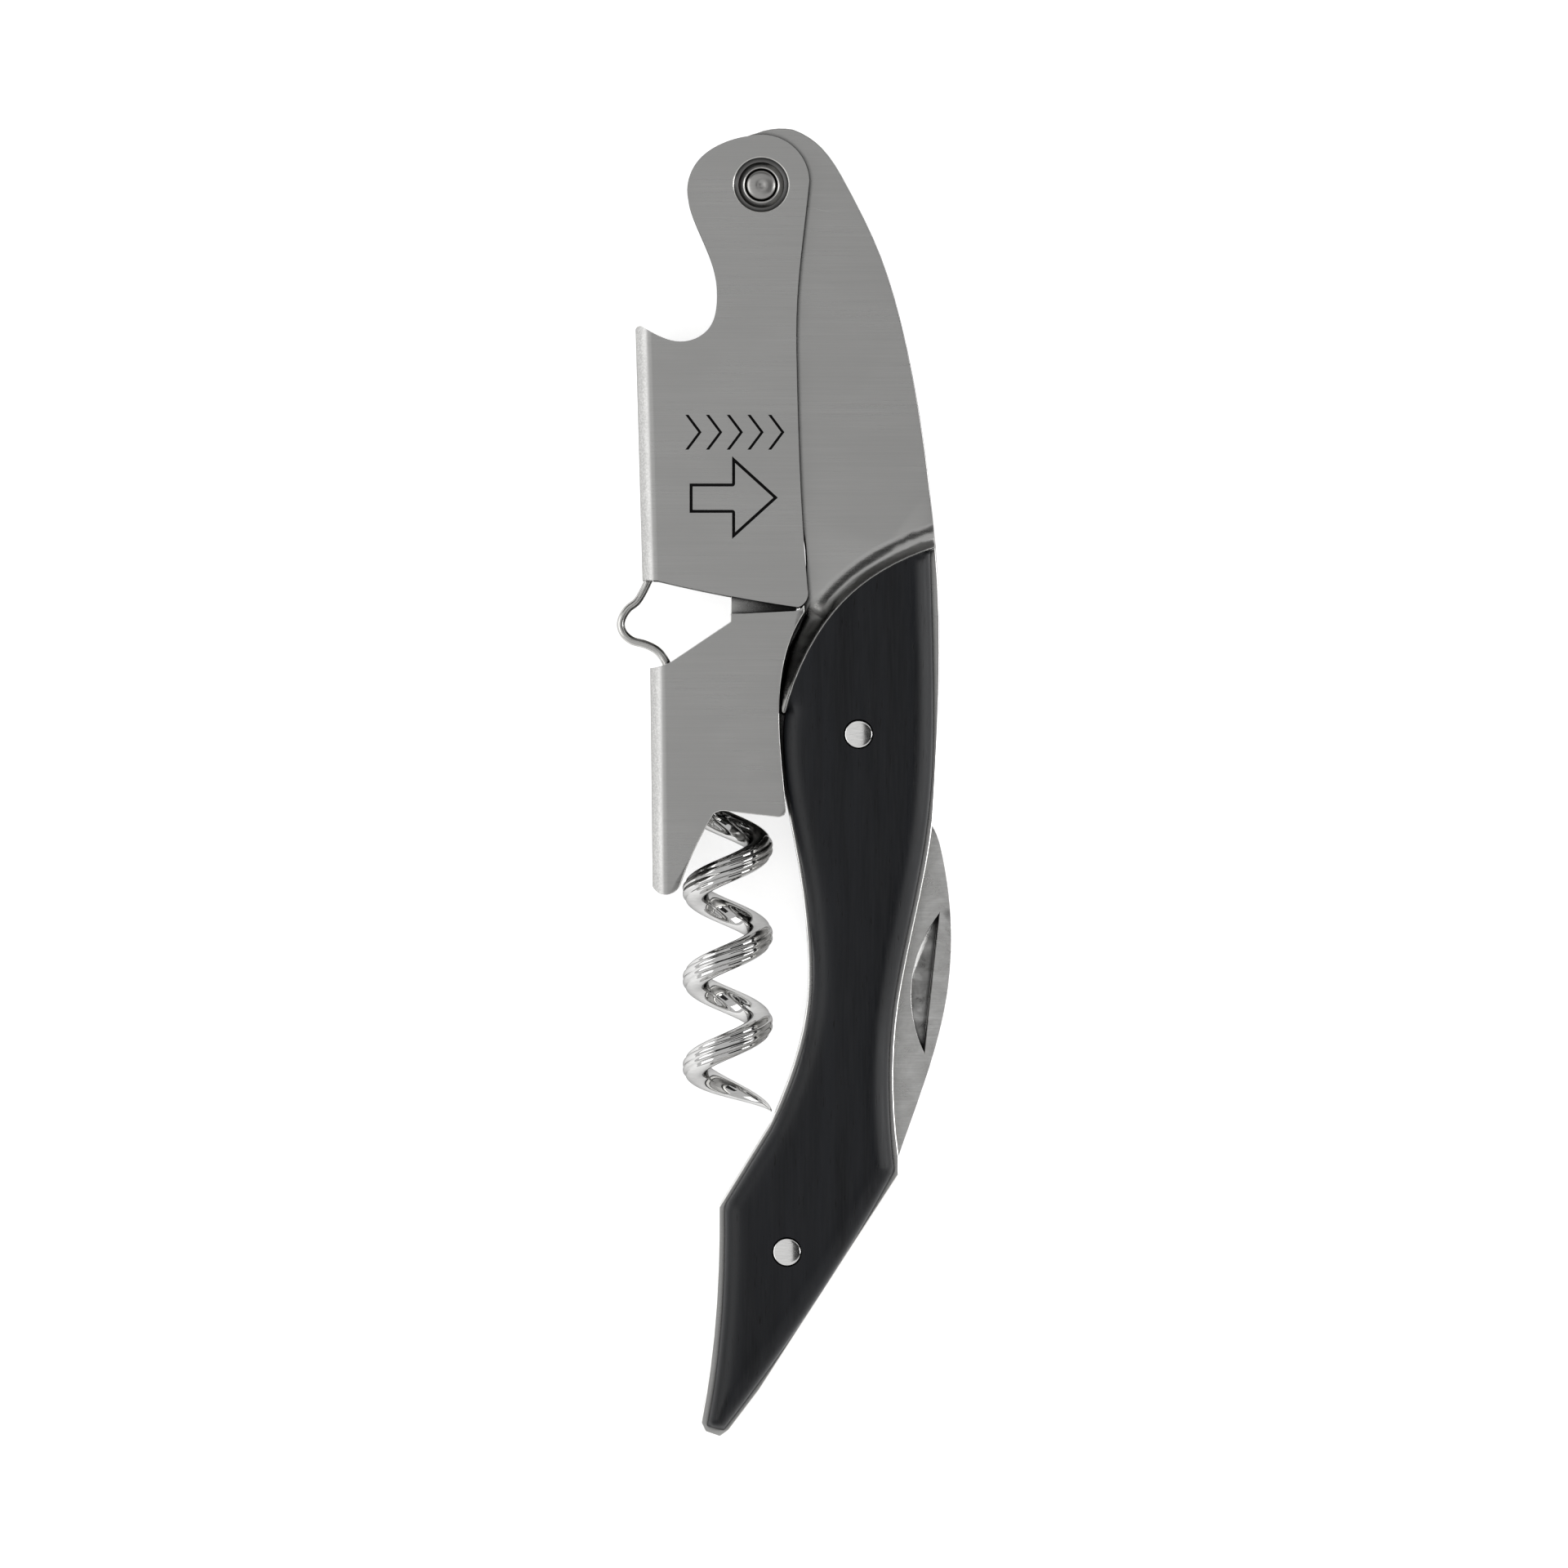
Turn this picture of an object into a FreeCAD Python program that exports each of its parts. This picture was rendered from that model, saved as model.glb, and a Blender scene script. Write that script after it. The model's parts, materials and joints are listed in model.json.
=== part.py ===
import FreeCAD, Part
import math
import os
from FreeCAD import Placement, Rotation, Vector

# A folded double-lever waiter's corkscrew, in millimetres.  +Y runs along the handle from the tail to
# the lever pivot, +Z is up from the resting plane through the thickness.  The origin is on the axis of
# the upper scale pin, in the outer face of the rear scale.  Outlines are drawn in the XY plane.

SIZES = {
    "half_thickness": (6.3, "resting plane to the middle plane"),
    "frame_gap": (5.6, "free width between the two liners"),
    "liner_thickness": (1.5, "each liner plate"),
    "scale_thickness": (2.0, "each wood scale"),
    "scale_edge": (0.8, "rounding of the scale's outer edge"),
    "lever_width": (11.0, "outside width of both lever channels"),
    "lever_inner": (9.0, "inside width of both lever channels"),
    "bend_round": (1.45, "outside bend of the channels"),
    "neck_outer": (8.8, "outside width of the foot's neck"),
    "neck_inner": (6.8, "inside width of the foot's neck"),
    "scale_pin_radius": (1.3, "pins that show on the scales"),
    "lever_pin_radius": (1.35, "pin of the lever pivot"),
    "lever_pin_length": (10.7, "end to end over the domes"),
    "pin_dome": (0.45, "rise of the lever pin's domed ends"),
    "bush_radius": (2.1, "bush of the lever pivot"),
    "bush_setback": (0.25, "cheek face down to the bush's rim"),
    "bush_round": (0.3, "rounding of the bush's rim"),
    "recess_radius": (2.6, "mouth of the recess round the lever pivot"),
    "recess_depth": (0.54, "cheek face down to the recess's foot"),
    "worm_pin_radius": (1.2, "pin of the worm's eye"),
    "link_pin_radius": (1.0, "pin of the foot"),
    "link_sleeve_radius": (1.8, "sleeve that spaces the foot's cheeks"),
    "spacer_tube_radius": (2.0, "tube round the upper scale pin"),
    "worm_washer_radius": (2.4, "washers either side of the worm's eye"),
    "knife_washer_radius": (2.9, "washers either side of the knife's tang"),
    "dowel_radius": (0.9, "hidden pins of the frame"),
    "dowel_length": (8.0, "end to end, blind in both liners"),
    "running_gap": (0.05, "radial clearance of every pivot"),
    "blade_thickness": (1.8, "knife blade"),
    "tang_radius": (3.2, "round tang of the knife"),
    "worm_radius": (3.0, "helix radius of the wire's centre"),
    "wire_radius": (1.2, "worm wire"),
    "worm_pitch": (8.1, "rise per turn"),
    "eye_radius": (2.45, "centre line of the worm's eye"),
    "spring_wire": (0.38, "radius of the step spring's wire"),
    "engraving_depth": (0.15, "marks on the front cheek"),
}

# Pivots and pins, (x, y).
LEVER_PIVOT = (-8.93, 50.40)
LINK_PIVOT = (-7.20, 14.60)
WORM_PIVOT = (-3.82, 5.22)
SCALE_PIN = (0.0, 0.0)
KNIFE_PIVOT = (-6.57, -47.48)
SPACER_DOWELS = [(-3.2, 46.0), (2.6, 30.0), (4.4, 14.0)]
SPRING_DOWELS = [(-2.8, -12.5), (-2.8, -22.0)]
TAIL_DOWELS = [(-13.35, -62.3)]
DOWEL_TAIL_RADIUS = 0.45

WORM_AXIS_X = -12.03
WORM_TIP_Y = -34.7
WORM_TURNS = 4.75
WORM_FULL_TURNS = 3.75
WORM_TOP_RADIUS = 1.3
WORM_TAPER_TURNS = 0.5
WORM_POINT_SPREAD = 1.0
WORM_POINT_SHARE = 0.1
RINGS_PER_TURN = 20
SHANK_RINGS = 8
EYE_RINGS = 16
EYE_ARC = 232.0

THROUGH = 30.0
CHANNEL_REACH = 20.0

# Section of the scooped rise beside the scale: (distance from the scale, share of the scale's height).
SCOOP_CREST = 0.08
SCOOP_BELLY = (0.95, 0.36)
SCOOP_FOOT = 2.3
SCOOP_ROOT = -0.4

# Dimple of the lever pin: radius at its floor and mouth, and its depth.
DIMPLE = (0.2, 0.45, 0.2)

# Outlines: each is a start point and a list of spans.  A line span is one point, an arc span is a point
# on the way and the end, a curve span is a smooth line through all its points.
LINER = ((-9.4, 55.2), [
    ("arc", (-7.7, 55.62), (-6.0, 55.55)),
    ("curve", (-3.4, 53.9), (-1.0, 50.3), (1.9, 44.3), (4.1, 37.1), (6.5, 23.1), (7.45, 10.0), (7.3, 0.6),
     (6.85, -7.8)),
    ("curve", (4.98, -18.0), (3.45, -26.5), (3.2, -32.0), (3.7, -38.8)),
    ("line", (3.7, -40.4)),
    ("line", (-9.1, -60.2)),
    ("line", (-11.9, -63.9)),
    ("line", (-12.7, -64.5)),
    ("line", (-14.1, -64.0)),
    ("line", (-14.5, -63.2)),
    ("curve", (-13.7, -58.4), (-13.05, -51.6), (-12.85, -43.5)),
    ("line", (-8.1, -35.8)),
    ("curve", (-6.35, -31.45), (-4.8, -25.2), (-4.7, -19.0), (-6.0, -9.4), (-7.2, -3.0), (-7.55, 2.5),
     (-7.35, 6.0), (-6.85, 8.3), (-6.12, 9.7), (-5.45, 11.2), (-5.0, 13.2), (-5.1, 18.5), (-8.0, 26.0),
     (-10.2, 35.0), (-11.6, 46.0)),
    ("curve", (-12.0, 50.5), (-11.3, 54.0), (-9.4, 55.2)),
])

SCALE = ((6.6, 16.95), [
    ("curve", (3.6, 15.7), (-0.95, 12.55), (-4.05, 8.5), (-5.45, 5.7), (-6.75, 1.9), (-6.9, -2.0),
     (-6.42, -6.0), (-5.55, -10.4), (-4.33, -19.0), (-4.4, -25.2), (-5.9, -31.45), (-8.0, -36.3)),
    ("line", (-12.3, -43.3)),
    ("curve", (-12.45, -51.6), (-13.05, -58.4), (-13.9, -63.5)),
    ("line", (-12.4, -63.9)),
    ("curve", (-9.3, -59.8), (3.3, -40.1)),
    ("curve", (2.8, -32.0), (3.05, -26.5), (4.55, -18.0), (6.4, -7.8), (6.9, 2.0), (6.6, 16.95)),
])

# The bolster rises to the scale in a scoop along this line, the scale's upper boundary.
BOLSTER_LINE = [(7.6, 17.3), (3.6, 15.75), (-0.95, 12.6), (-4.1, 8.55), (-5.5, 5.75), (-6.8, 1.9)]

# Where the rise beside the scale is cut back for the foot's cheek.
FOOT_RELIEF = ((-12.0, -4.0), [
    ("line", (-6.8, -4.0)),
    ("curve", (-7.05, 2.6), (-6.37, 7.6), (-4.75, 11.2), (-4.6, 12.8)),
    ("line", (-12.0, 12.8)),
])

BOLSTER_SPACER = ((-9.0, 54.6), [
    ("arc", (-7.5, 55.2), (-6.2, 54.9)),
    ("curve", (-3.5, 52.8), (-1.4, 49.7), (1.5, 44.0), (3.7, 36.9), (6.1, 23.0), (7.0, 10.0), (6.85, 0.6),
     (6.5, -6.2)),
    ("line", (3.4, -4.6)),
    ("curve", (2.7, 2.0), (0.8, 9.0), (-0.4, 14.0), (-3.0, 20.0), (-7.0, 27.5), (-9.4, 36.0), (-11.2, 46.0)),
    ("curve", (-11.5, 50.2), (-10.8, 53.4), (-9.0, 54.6)),
])

KNIFE_SPRING = ((-6.3, -7.5), [
    ("curve", (-5.1, -14.0), (-4.2, -22.0), (-5.3, -30.0), (-6.6, -34.4), (-8.4, -37.5)),
    ("line", (-12.0, -43.3)),
    ("line", (-12.2, -46.6)),
    ("line", (-10.6, -46.6)),
    ("curve", (-9.4, -42.0), (-6.0, -37.0), (-3.6, -32.0), (-1.9, -26.0), (-1.0, -20.0), (0.4, -14.0),
     (2.2, -9.0)),
    ("line", (0.6, -6.8)),
    ("line", (-6.3, -7.5)),
])

TAIL_SPACER = ((-12.7, -51.0), [
    ("curve", (-13.3, -58.4), (-14.1, -63.2)),
    ("line", (-13.8, -63.8)),
    ("line", (-12.8, -64.0)),
    ("line", (-12.7, -60.8)),
    ("line", (-12.4, -51.0)),
    ("line", (-12.7, -51.0)),
])

UPPER_LEVER = ((-9.85, 54.9), [
    ("arc", (-6.24, 54.1), (-4.52, 50.75)),
    ("curve", (-4.92, 47.15), (-5.65, 39.5), (-5.65, 32.3), (-5.28, 21.7), (-4.68, 13.3)),
    ("arc", (-4.85, 12.2), (-5.53, 11.65)),
    ("curve", (-11.77, 12.68), (-18.49, 14.12)),
    ("line", (-22.0, 14.2)),
    ("line", (-22.0, 36.9)),
    ("line", (-20.48, 36.9)),
    ("arc", (-20.3, 37.4), (-19.85, 37.42)),
    ("curve", (-18.13, 36.46), (-16.45, 36.03), (-14.89, 36.34), (-13.69, 37.3), (-13.0, 39.9),
     (-13.45, 43.3), (-15.2, 47.6), (-15.73, 49.9), (-14.9, 52.4), (-12.72, 54.11), (-9.85, 54.9)),
])

LOWER_LEVER = ((-11.75, 10.3), [
    ("line", (-17.16, 6.68)),
    ("arc", (-18.1, 6.25), (-19.3, 6.08)),
    ("line", (-22.0, 6.08)),
    ("line", (-22.0, -12.8)),
    ("line", (-18.95, -12.8)),
    ("arc", (-17.9, -14.72), (-16.4, -13.9)),
    ("curve", (-15.13, -10.7), (-13.33, -7.33)),
    ("arc", (-12.7, -7.06), (-12.0, -7.08)),
    ("line", (-7.3, -7.62)),
    ("arc", (-6.78, -7.3), (-6.65, -6.72)),
    ("curve", (-7.08, -2.3), (-7.28, 2.6), (-6.6, 7.6), (-4.97, 11.2)),
    ("line", (-4.98, 11.85)),
    ("line", (-5.3, 11.5)),
    ("line", (-5.75, 11.3)),
    ("line", (-11.75, 11.0)),
    ("line", (-11.75, 10.3)),
])

# The spine of each channel, from its lower end to its upper end.
UPPER_SPINE = ((-19.85, 14.19), (-20.48, 37.0))
LOWER_SPINE = ((-18.93, -12.6), (-19.14, 6.0))

JOGGLE = ((-11.75, 9.8), [
    ("line", (-11.75, 11.0)),
    ("line", (-5.68, 11.08)),
    ("line", (-6.27, 9.8)),
])

NECK_HOLLOW = ((-18.0, 9.7), [
    ("line", (-18.0, 20.0)),
    ("line", (0.0, 20.0)),
    ("line", (0.0, 9.7)),
])

NECK = ((-11.71, 9.6), [
    ("line", (-11.71, 12.6)),
    ("line", (-9.14, 15.1)),
    ("arc", (-7.2, 16.6), (-5.26, 15.1)),
    ("line", (-5.65, 11.6)),
    ("line", (-6.35, 9.6)),
    ("line", (-11.71, 9.6)),
])

BLADE = ((-5.3, -44.55), [
    ("curve", (-4.4, -42.0), (-2.6, -36.5), (1.0, -22.5), (6.2, -7.6)),
    ("curve", (6.75, -8.3), (7.8, -11.3), (8.55, -17.5), (8.1, -24.5), (6.6, -30.5), (5.0, -35.2),
     (3.4, -39.8)),
    ("curve", (-0.2, -45.2), (-3.6, -48.7)),
    ("line", (-5.3, -44.55)),
])

NAIL_NICK = ((7.38, -16.46), [
    ("line", (6.0, -29.34)),
    ("arc", (4.85, -23.0), (7.38, -16.46)),
])
NAIL_NICK_DEPTH = 0.5
NAIL_NICK_TILT = 11.0

ARROW = ((-15.5, 20.3), [
    ("line", (-15.5, 23.0)),
    ("line", (-11.6, 23.0)),
    ("line", (-11.6, 25.5)),
    ("line", (-7.4, 21.7)),
    ("line", (-11.6, 17.9)),
    ("line", (-11.6, 20.3)),
    ("line", (-15.5, 20.3)),
])
ARROW_STROKE = 0.28
CHEVRONS = 5
CHEVRON_START = (-15.9, 26.1)
CHEVRON_PITCH = 1.9
CHEVRON_SIZE = (1.2, 3.2)

# The step spring's wire, as straight runs joined by arcs: (x, y), and the arc radius at that point.
SPRING_ROUTE = [
    ((-18.55, 25.0), 0.0),
    ((-18.30, 17.2), 4.0),
    ((-19.55, 13.4), 2.0),
    ((-21.90, 11.2), 1.6),
    ((-21.90, 8.95), 1.2),
    ((-18.80, 8.15), 1.6),
    ((-17.40, 5.60), 2.0),
    ((-17.55, -2.0), 0.0),
]
# Slot of the lever's spine that the wire passes through: its lengths, and its corner from the middle plane.
SPRING_SLOT = (6.0, 6.8, 1.2)
SLOT_CORNER = (-22.0, 10.0, -0.6)

# Wire of the worm's shank, between the end of the helix and the eye: (x, y, z from the middle plane).
SHANK = [(-9.4, 5.5, 0.8), (-6.6, 7.0, 0.2)]

doc = FreeCAD.newDocument("waiters_corkscrew")


def make_sheet():
    sheet = doc.addObject("Spreadsheet::Sheet", "Sizes")
    for row, (alias, (value, meaning)) in enumerate(SIZES.items(), start=1):
        sheet.set(f"A{row}", alias)
        sheet.set(f"B{row}", str(value))
        sheet.set(f"C{row}", meaning)
        sheet.setAlias(f"B{row}", alias)
    doc.recompute()
    return sheet


def size(alias):
    return float(sheet.get(alias))


def flat(point):
    return Vector(point[0], point[1], 0)


def outline_edges(outline):
    """The edges' curves of an outline, in the XY plane."""
    here, spans = outline
    curves = []
    for kind, *points in spans:
        if kind == "line":
            curves.append(Part.LineSegment(flat(here), flat(points[0])))
        elif kind == "arc":
            curves.append(Part.Arc(flat(here), flat(points[0]), flat(points[1])))
        else:
            curve = Part.BSplineCurve()
            curve.interpolate([flat(p) for p in [here] + points])
            curves.append(curve)
        here = points[-1]
    start = outline[0]
    if math.dist(start, here) > 1e-9:
        curves.append(Part.LineSegment(flat(here), flat(start)))
    return curves


def new_body(name, height="half_thickness"):
    """A body whose own XY plane lies at a height given by an expression on the sheet."""
    body = doc.addObject("PartDesign::Body", name)
    body.Label = name
    body.setExpression(".Placement.Base.z", on_sheet(height))
    return body


def on_sheet(expression):
    words = expression.split()
    return " ".join("Sizes." + word if word in SIZES else word for word in words)


def sketch_on(body, name, curves, plane="XY_Plane"):
    plane = [item for item in body.Origin.OriginFeatures if item.Role == plane][0]
    sketch = body.newObject("Sketcher::SketchObject", name)
    sketch.AttachmentSupport = [(plane, "")]
    sketch.MapMode = "FlatFace"
    for curve in curves:
        sketch.addGeometry(curve)
    return sketch


def circle(centre, radius):
    return Part.Circle(flat(centre), Vector(0, 0, 1), radius)


def pad(body, name, curves, length, symmetric=True, plane="XY_Plane"):
    feature = body.newObject("PartDesign::Pad", name)
    feature.Profile = sketch_on(body, name + "_outline", curves, plane)
    feature.SideType = "Symmetric" if symmetric else "One side"
    feature.setExpression("Length", on_sheet(length))
    doc.recompute()
    return feature


def pocket(body, name, curves, length):
    """Cuts a pocket and makes sure that it took material away."""
    before = body.Shape.Volume
    feature = body.newObject("PartDesign::Pocket", name)
    feature.Profile = sketch_on(body, name + "_outline", curves)
    feature.SideType = "Symmetric"
    feature.setExpression("Length", on_sheet(length))
    doc.recompute()
    if body.Shape.Volume > before - 1e-3:
        raise RuntimeError(f"{name} cuts nothing")
    return feature


def drill(body, name, centres, radius):
    """Through holes on the Z axis."""
    return pocket(body, name, [circle(centre, radius) for centre in centres], "4 * half_thickness")


def edges_where(shape, test):
    return [f"Edge{i}" for i, edge in enumerate(shape.Edges, start=1) if test(edge)]


def round_edges(body, base, name, names, radius):
    feature = body.newObject("PartDesign::Fillet", name)
    feature.Base = (base, names)
    feature.setExpression("Radius", on_sheet(radius))
    doc.recompute()
    return feature


def in_plane(edge, z):
    box = edge.BoundBox
    return abs(box.ZMin - z) < 1e-4 and abs(box.ZMax - z) < 1e-4


def free_shape(name, shape):
    """A sub-part whose shape is computed here, about the middle plane."""
    feature = doc.addObject("Part::Feature", name)
    feature.Label = name
    feature.Shape = shape
    feature.Placement = Placement(Vector(0, 0, size("half_thickness")), Rotation())
    return feature


def bolster_scoop(side):
    """The rise beside the scale: a strip along the scale's boundary with a hollow upper face.
    side is +1 for the front and -1 for the rear."""
    rise = size("scale_thickness")
    base = size("frame_gap") / 2 + size("liner_thickness")
    line = Part.BSplineCurve()
    line.interpolate([flat(p) for p in BOLSTER_LINE])
    start = flat(BOLSTER_LINE[0])
    tangent = line.tangent(line.FirstParameter)[0]
    across = Vector(tangent.y, -tangent.x, 0)

    def at(distance, height):
        return start + across * distance + Vector(0, 0, side * (base + height))

    belly = at(SCOOP_BELLY[0], SCOOP_BELLY[1] * rise)
    profile = Part.Wire([
        Part.makeLine(at(0, SCOOP_ROOT), at(0, rise)),
        Part.makeLine(at(0, rise), at(SCOOP_CREST, rise)),
        Part.Arc(at(SCOOP_CREST, rise), belly, at(SCOOP_FOOT, 0)).toShape(),
        Part.makeLine(at(SCOOP_FOOT, 0), at(SCOOP_FOOT, SCOOP_ROOT)),
        Part.makeLine(at(SCOOP_FOOT, SCOOP_ROOT), at(0, SCOOP_ROOT)),
    ])
    return Part.Wire([line.toShape()]).makePipeShell([profile], True, False)


def slab(outline, thickness, z):
    """A plain plate with its lower face at z."""
    edges = [curve.toShape() for curve in outline_edges(outline)]
    face = Part.Face(Part.Wire(Part.__sortEdges__(edges)))
    plate = face.extrude(Vector(0, 0, thickness))
    plate.translate(Vector(0, 0, z))
    return plate


def post(centre, radius, length, z=None):
    """A cylinder along Z, centred on the middle plane unless its lower end is given."""
    base = Vector(centre[0], centre[1], -length / 2 if z is None else z)
    return Part.makeCylinder(radius, length, base, Vector(0, 0, 1))


def make_liner(name, side):
    """Liner and bolster in one: the plate, the scooped rise, pin holes and blind dowel holes."""
    half_gap = size("frame_gap") / 2
    thickness = size("liner_thickness")
    plate = slab(LINER, thickness, half_gap if side > 0 else -half_gap - thickness)
    everywhere = slab(LINER, 4 * size("half_thickness"), -2 * size("half_thickness"))
    rise = size("scale_thickness")
    face = half_gap + thickness
    relief = slab(FOOT_RELIEF, rise, face if side > 0 else -face - rise)
    shape = plate.fuse(bolster_scoop(side).common(everywhere).cut(relief))
    pins = [(SCALE_PIN, "scale_pin_radius"), (KNIFE_PIVOT, "scale_pin_radius"),
            (LEVER_PIVOT, "lever_pin_radius"), (WORM_PIVOT, "worm_pin_radius")]
    holes = [post(centre, size(radius), THROUGH) for centre, radius in pins] + dowels()
    return free_shape(name, shape.cut(holes).removeSplitter())


def dowels():
    """The hidden pins that hold the spacers and the knife spring between the liners."""
    length = size("dowel_length")
    pins = [post(centre, size("dowel_radius"), length) for centre in SPACER_DOWELS + SPRING_DOWELS]
    return pins + [post(centre, DOWEL_TAIL_RADIUS, length) for centre in TAIL_DOWELS]


def make_scale(name, side):
    """A wood scale with a broad rounded edge on its outer face."""
    height = "half_thickness + frame_gap / 2 + liner_thickness" if side > 0 else "scale_thickness"
    body = new_body(name, height)
    thickness = size("scale_thickness")
    base = pad(body, name + "_plate", outline_edges(SCALE), "scale_thickness", symmetric=False)
    if side < 0:
        base.Reversed = True
        doc.recompute()
    outer = thickness if side > 0 else -thickness
    names = edges_where(base.Shape, lambda edge: in_plane(edge, outer))
    round_edges(body, base, name + "_edge", names, "scale_edge")
    pocket(body, name + "_holes", [circle(SCALE_PIN, size("scale_pin_radius")),
                                   circle(KNIFE_PIVOT, size("scale_pin_radius"))], "4 * half_thickness")
    return body


def make_spacer(name, outline, centres, radius, pin_holes=()):
    """A block that fills the gap between the liners, with its dowel holes."""
    body = new_body(name)
    pad(body, name + "_block", outline_edges(outline), "frame_gap")
    drill(body, name + "_dowels", centres, radius)
    for centre, pin_radius in pin_holes:
        drill(body, name + "_pin_hole", [centre], pin_radius)
    return body


def make_tube(centre, outer, inner, length, z=None):
    """A round tube along Z, centred on the middle plane unless its lower end is given."""
    return post(centre, outer, length, z).cut(post(centre, inner, THROUGH))


def channel(name, outline, spine_start, spine_end):
    """Sheet bent to a U and trimmed: the U section runs along the spine, the outline trims it."""
    half = size("lever_width") / 2
    inner = size("lever_inner") / 2
    outer_bend = size("bend_round")
    sheet_metal = half - inner
    inner_bend = outer_bend - sheet_metal

    def bend(x, z, radius, sign):
        turn = radius * (1 - math.sqrt(0.5))
        return Part.Arc(Vector(x, z - sign * radius, 0), Vector(x + turn, z - sign * turn, 0),
                        Vector(x + radius, z, 0))

    curves = [Part.LineSegment(flat((outer_bend, half)), flat((CHANNEL_REACH, half))),
              Part.LineSegment(flat((CHANNEL_REACH, half)), flat((CHANNEL_REACH, inner))),
              Part.LineSegment(flat((CHANNEL_REACH, inner)), flat((sheet_metal + inner_bend, inner))),
              bend(sheet_metal, inner, inner_bend, 1),
              Part.LineSegment(flat((sheet_metal, inner - inner_bend)),
                               flat((sheet_metal, inner_bend - inner))),
              bend(sheet_metal, -inner, inner_bend, -1),
              Part.LineSegment(flat((sheet_metal + inner_bend, -inner)), flat((CHANNEL_REACH, -inner))),
              Part.LineSegment(flat((CHANNEL_REACH, -inner)), flat((CHANNEL_REACH, -half))),
              Part.LineSegment(flat((CHANNEL_REACH, -half)), flat((outer_bend, -half))),
              bend(0, -half, outer_bend, -1),
              Part.LineSegment(flat((0, outer_bend - half)), flat((0, half - outer_bend))),
              bend(0, half, outer_bend, 1)]
    section = doc.addObject("PartDesign::Body", name + "_section")
    pad(section, name + "_run", curves, "20 * lever_inner", plane="XZ_Plane")
    tilt = math.degrees(math.atan2(spine_start[0] - spine_end[0], spine_end[1] - spine_start[1]))
    section.Placement = Placement(Vector(*spine_start, size("half_thickness")),
                                  Rotation(Vector(0, 0, 1), tilt))
    blank = new_body(name + "_blank")
    pad(blank, name + "_trim", outline_edges(outline), "2 * lever_width")
    return boolean("Part::Common", name + "_channel", section, blank)


def boolean(kind, name, base, tool):
    feature = doc.addObject(kind, name)
    feature.Base = base
    feature.Tool = tool
    feature.Label = name
    doc.recompute()
    return feature


def cut_away(name, base, tools):
    """Cuts plain shapes, given about the middle plane, from an object of the document."""
    cutter = free_shape(name + "_tools", Part.makeCompound(tools))
    finished = boolean("Part::Cut", name + "_cut", base, cutter)
    finished.Label = name
    return finished


def pivot_recess(side):
    """The sloped recess round the pivot in one cheek."""
    depth = size("recess_depth")
    low = size("lever_width") / 2 - depth
    return Part.makeCone(size("bush_radius"), size("recess_radius"), depth, Vector(*LEVER_PIVOT, side * low),
                         Vector(0, 0, side))


def make_upper_lever():
    """Lever channel with the pivot and link holes, the spring's slot, and the marks of the front cheek."""
    raised = Vector(0, 0, size("lever_width") / 2 - size("engraving_depth"))
    marks = [arrow_groove()] + [chevron(index) for index in range(CHEVRONS)]
    for mark in marks:
        mark.translate(raised)
    slot = Part.makeBox(*SPRING_SLOT, Vector(*SLOT_CORNER))
    tools = marks + [pivot_recess(1), pivot_recess(-1), post(LEVER_PIVOT, size("bush_radius"), THROUGH),
                     post(LINK_PIVOT, size("link_pin_radius"), THROUGH), slot]
    return cut_away("upper_lever", channel("upper_lever", UPPER_LEVER, *UPPER_SPINE), tools)


def make_lower_lever():
    """The foot: a short channel whose neck is set in to work between the upper lever's cheeks."""
    hollow = slab(NECK_HOLLOW, size("neck_inner"), -size("neck_inner") / 2)
    main = channel("lower_lever", LOWER_LEVER, *LOWER_SPINE)
    neck = new_body("lower_lever_neck")
    pad(neck, "neck_block", outline_edges(NECK), "neck_outer")
    step = new_body("lower_lever_step")
    pad(step, "step_block", outline_edges(JOGGLE), "lever_inner + 2 * engraving_depth")
    joined = doc.addObject("Part::MultiFuse", "lower_lever_joined")
    joined.Shapes = [main, neck, step]
    doc.recompute()
    hole = post(LINK_PIVOT, size("link_pin_radius") + size("running_gap"), THROUGH)
    return cut_away("lower_lever", joined, [hollow, hole])


def arrow_groove():
    """The outlined arrow, as a groove of even stroke."""
    outer = slab(ARROW, 1.0, 0.0)
    face = Part.Face(Part.Wire([curve.toShape() for curve in outline_edges(ARROW)]))
    inner = face.makeOffset2D(-ARROW_STROKE).extrude(Vector(0, 0, 3.0))
    inner.translate(Vector(0, 0, -1.0))
    return outer.cut(inner)


def chevron(index):
    """One mark of the plain row above the arrow."""
    wide, tall = CHEVRON_SIZE
    x = CHEVRON_START[0] + index * CHEVRON_PITCH
    y = CHEVRON_START[1]
    mark = ((x, y), [
        ("line", (x + wide, y + tall / 2)),
        ("line", (x, y + tall)),
        ("line", (x + 0.3, y + tall)),
        ("line", (x + wide + 0.3, y + tall / 2)),
        ("line", (x + 0.3, y)),
    ])
    return slab(mark, 1.0, 0.0)


def make_blade():
    """Foil knife: a round tang and a blade, with a nail nick that is deepest at its straight side."""
    thickness = size("blade_thickness")
    blank = slab(BLADE, thickness, -thickness / 2)
    tang = post(KNIFE_PIVOT, size("tang_radius"), thickness)
    shape = blank.fuse(tang).removeSplitter()
    floor = thickness / 2 - NAIL_NICK_DEPTH
    nick = slab(NAIL_NICK, 2 * thickness, floor)
    top, bottom = flat(NAIL_NICK[0]), flat(NAIL_NICK[1][0][1])
    nick.rotate(top + Vector(0, 0, floor), top - bottom, NAIL_NICK_TILT)
    hole = post(KNIFE_PIVOT, size("scale_pin_radius") + size("running_gap"), THROUGH)
    return free_shape("knife_blade", shape.cut([nick, hole]))


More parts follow.
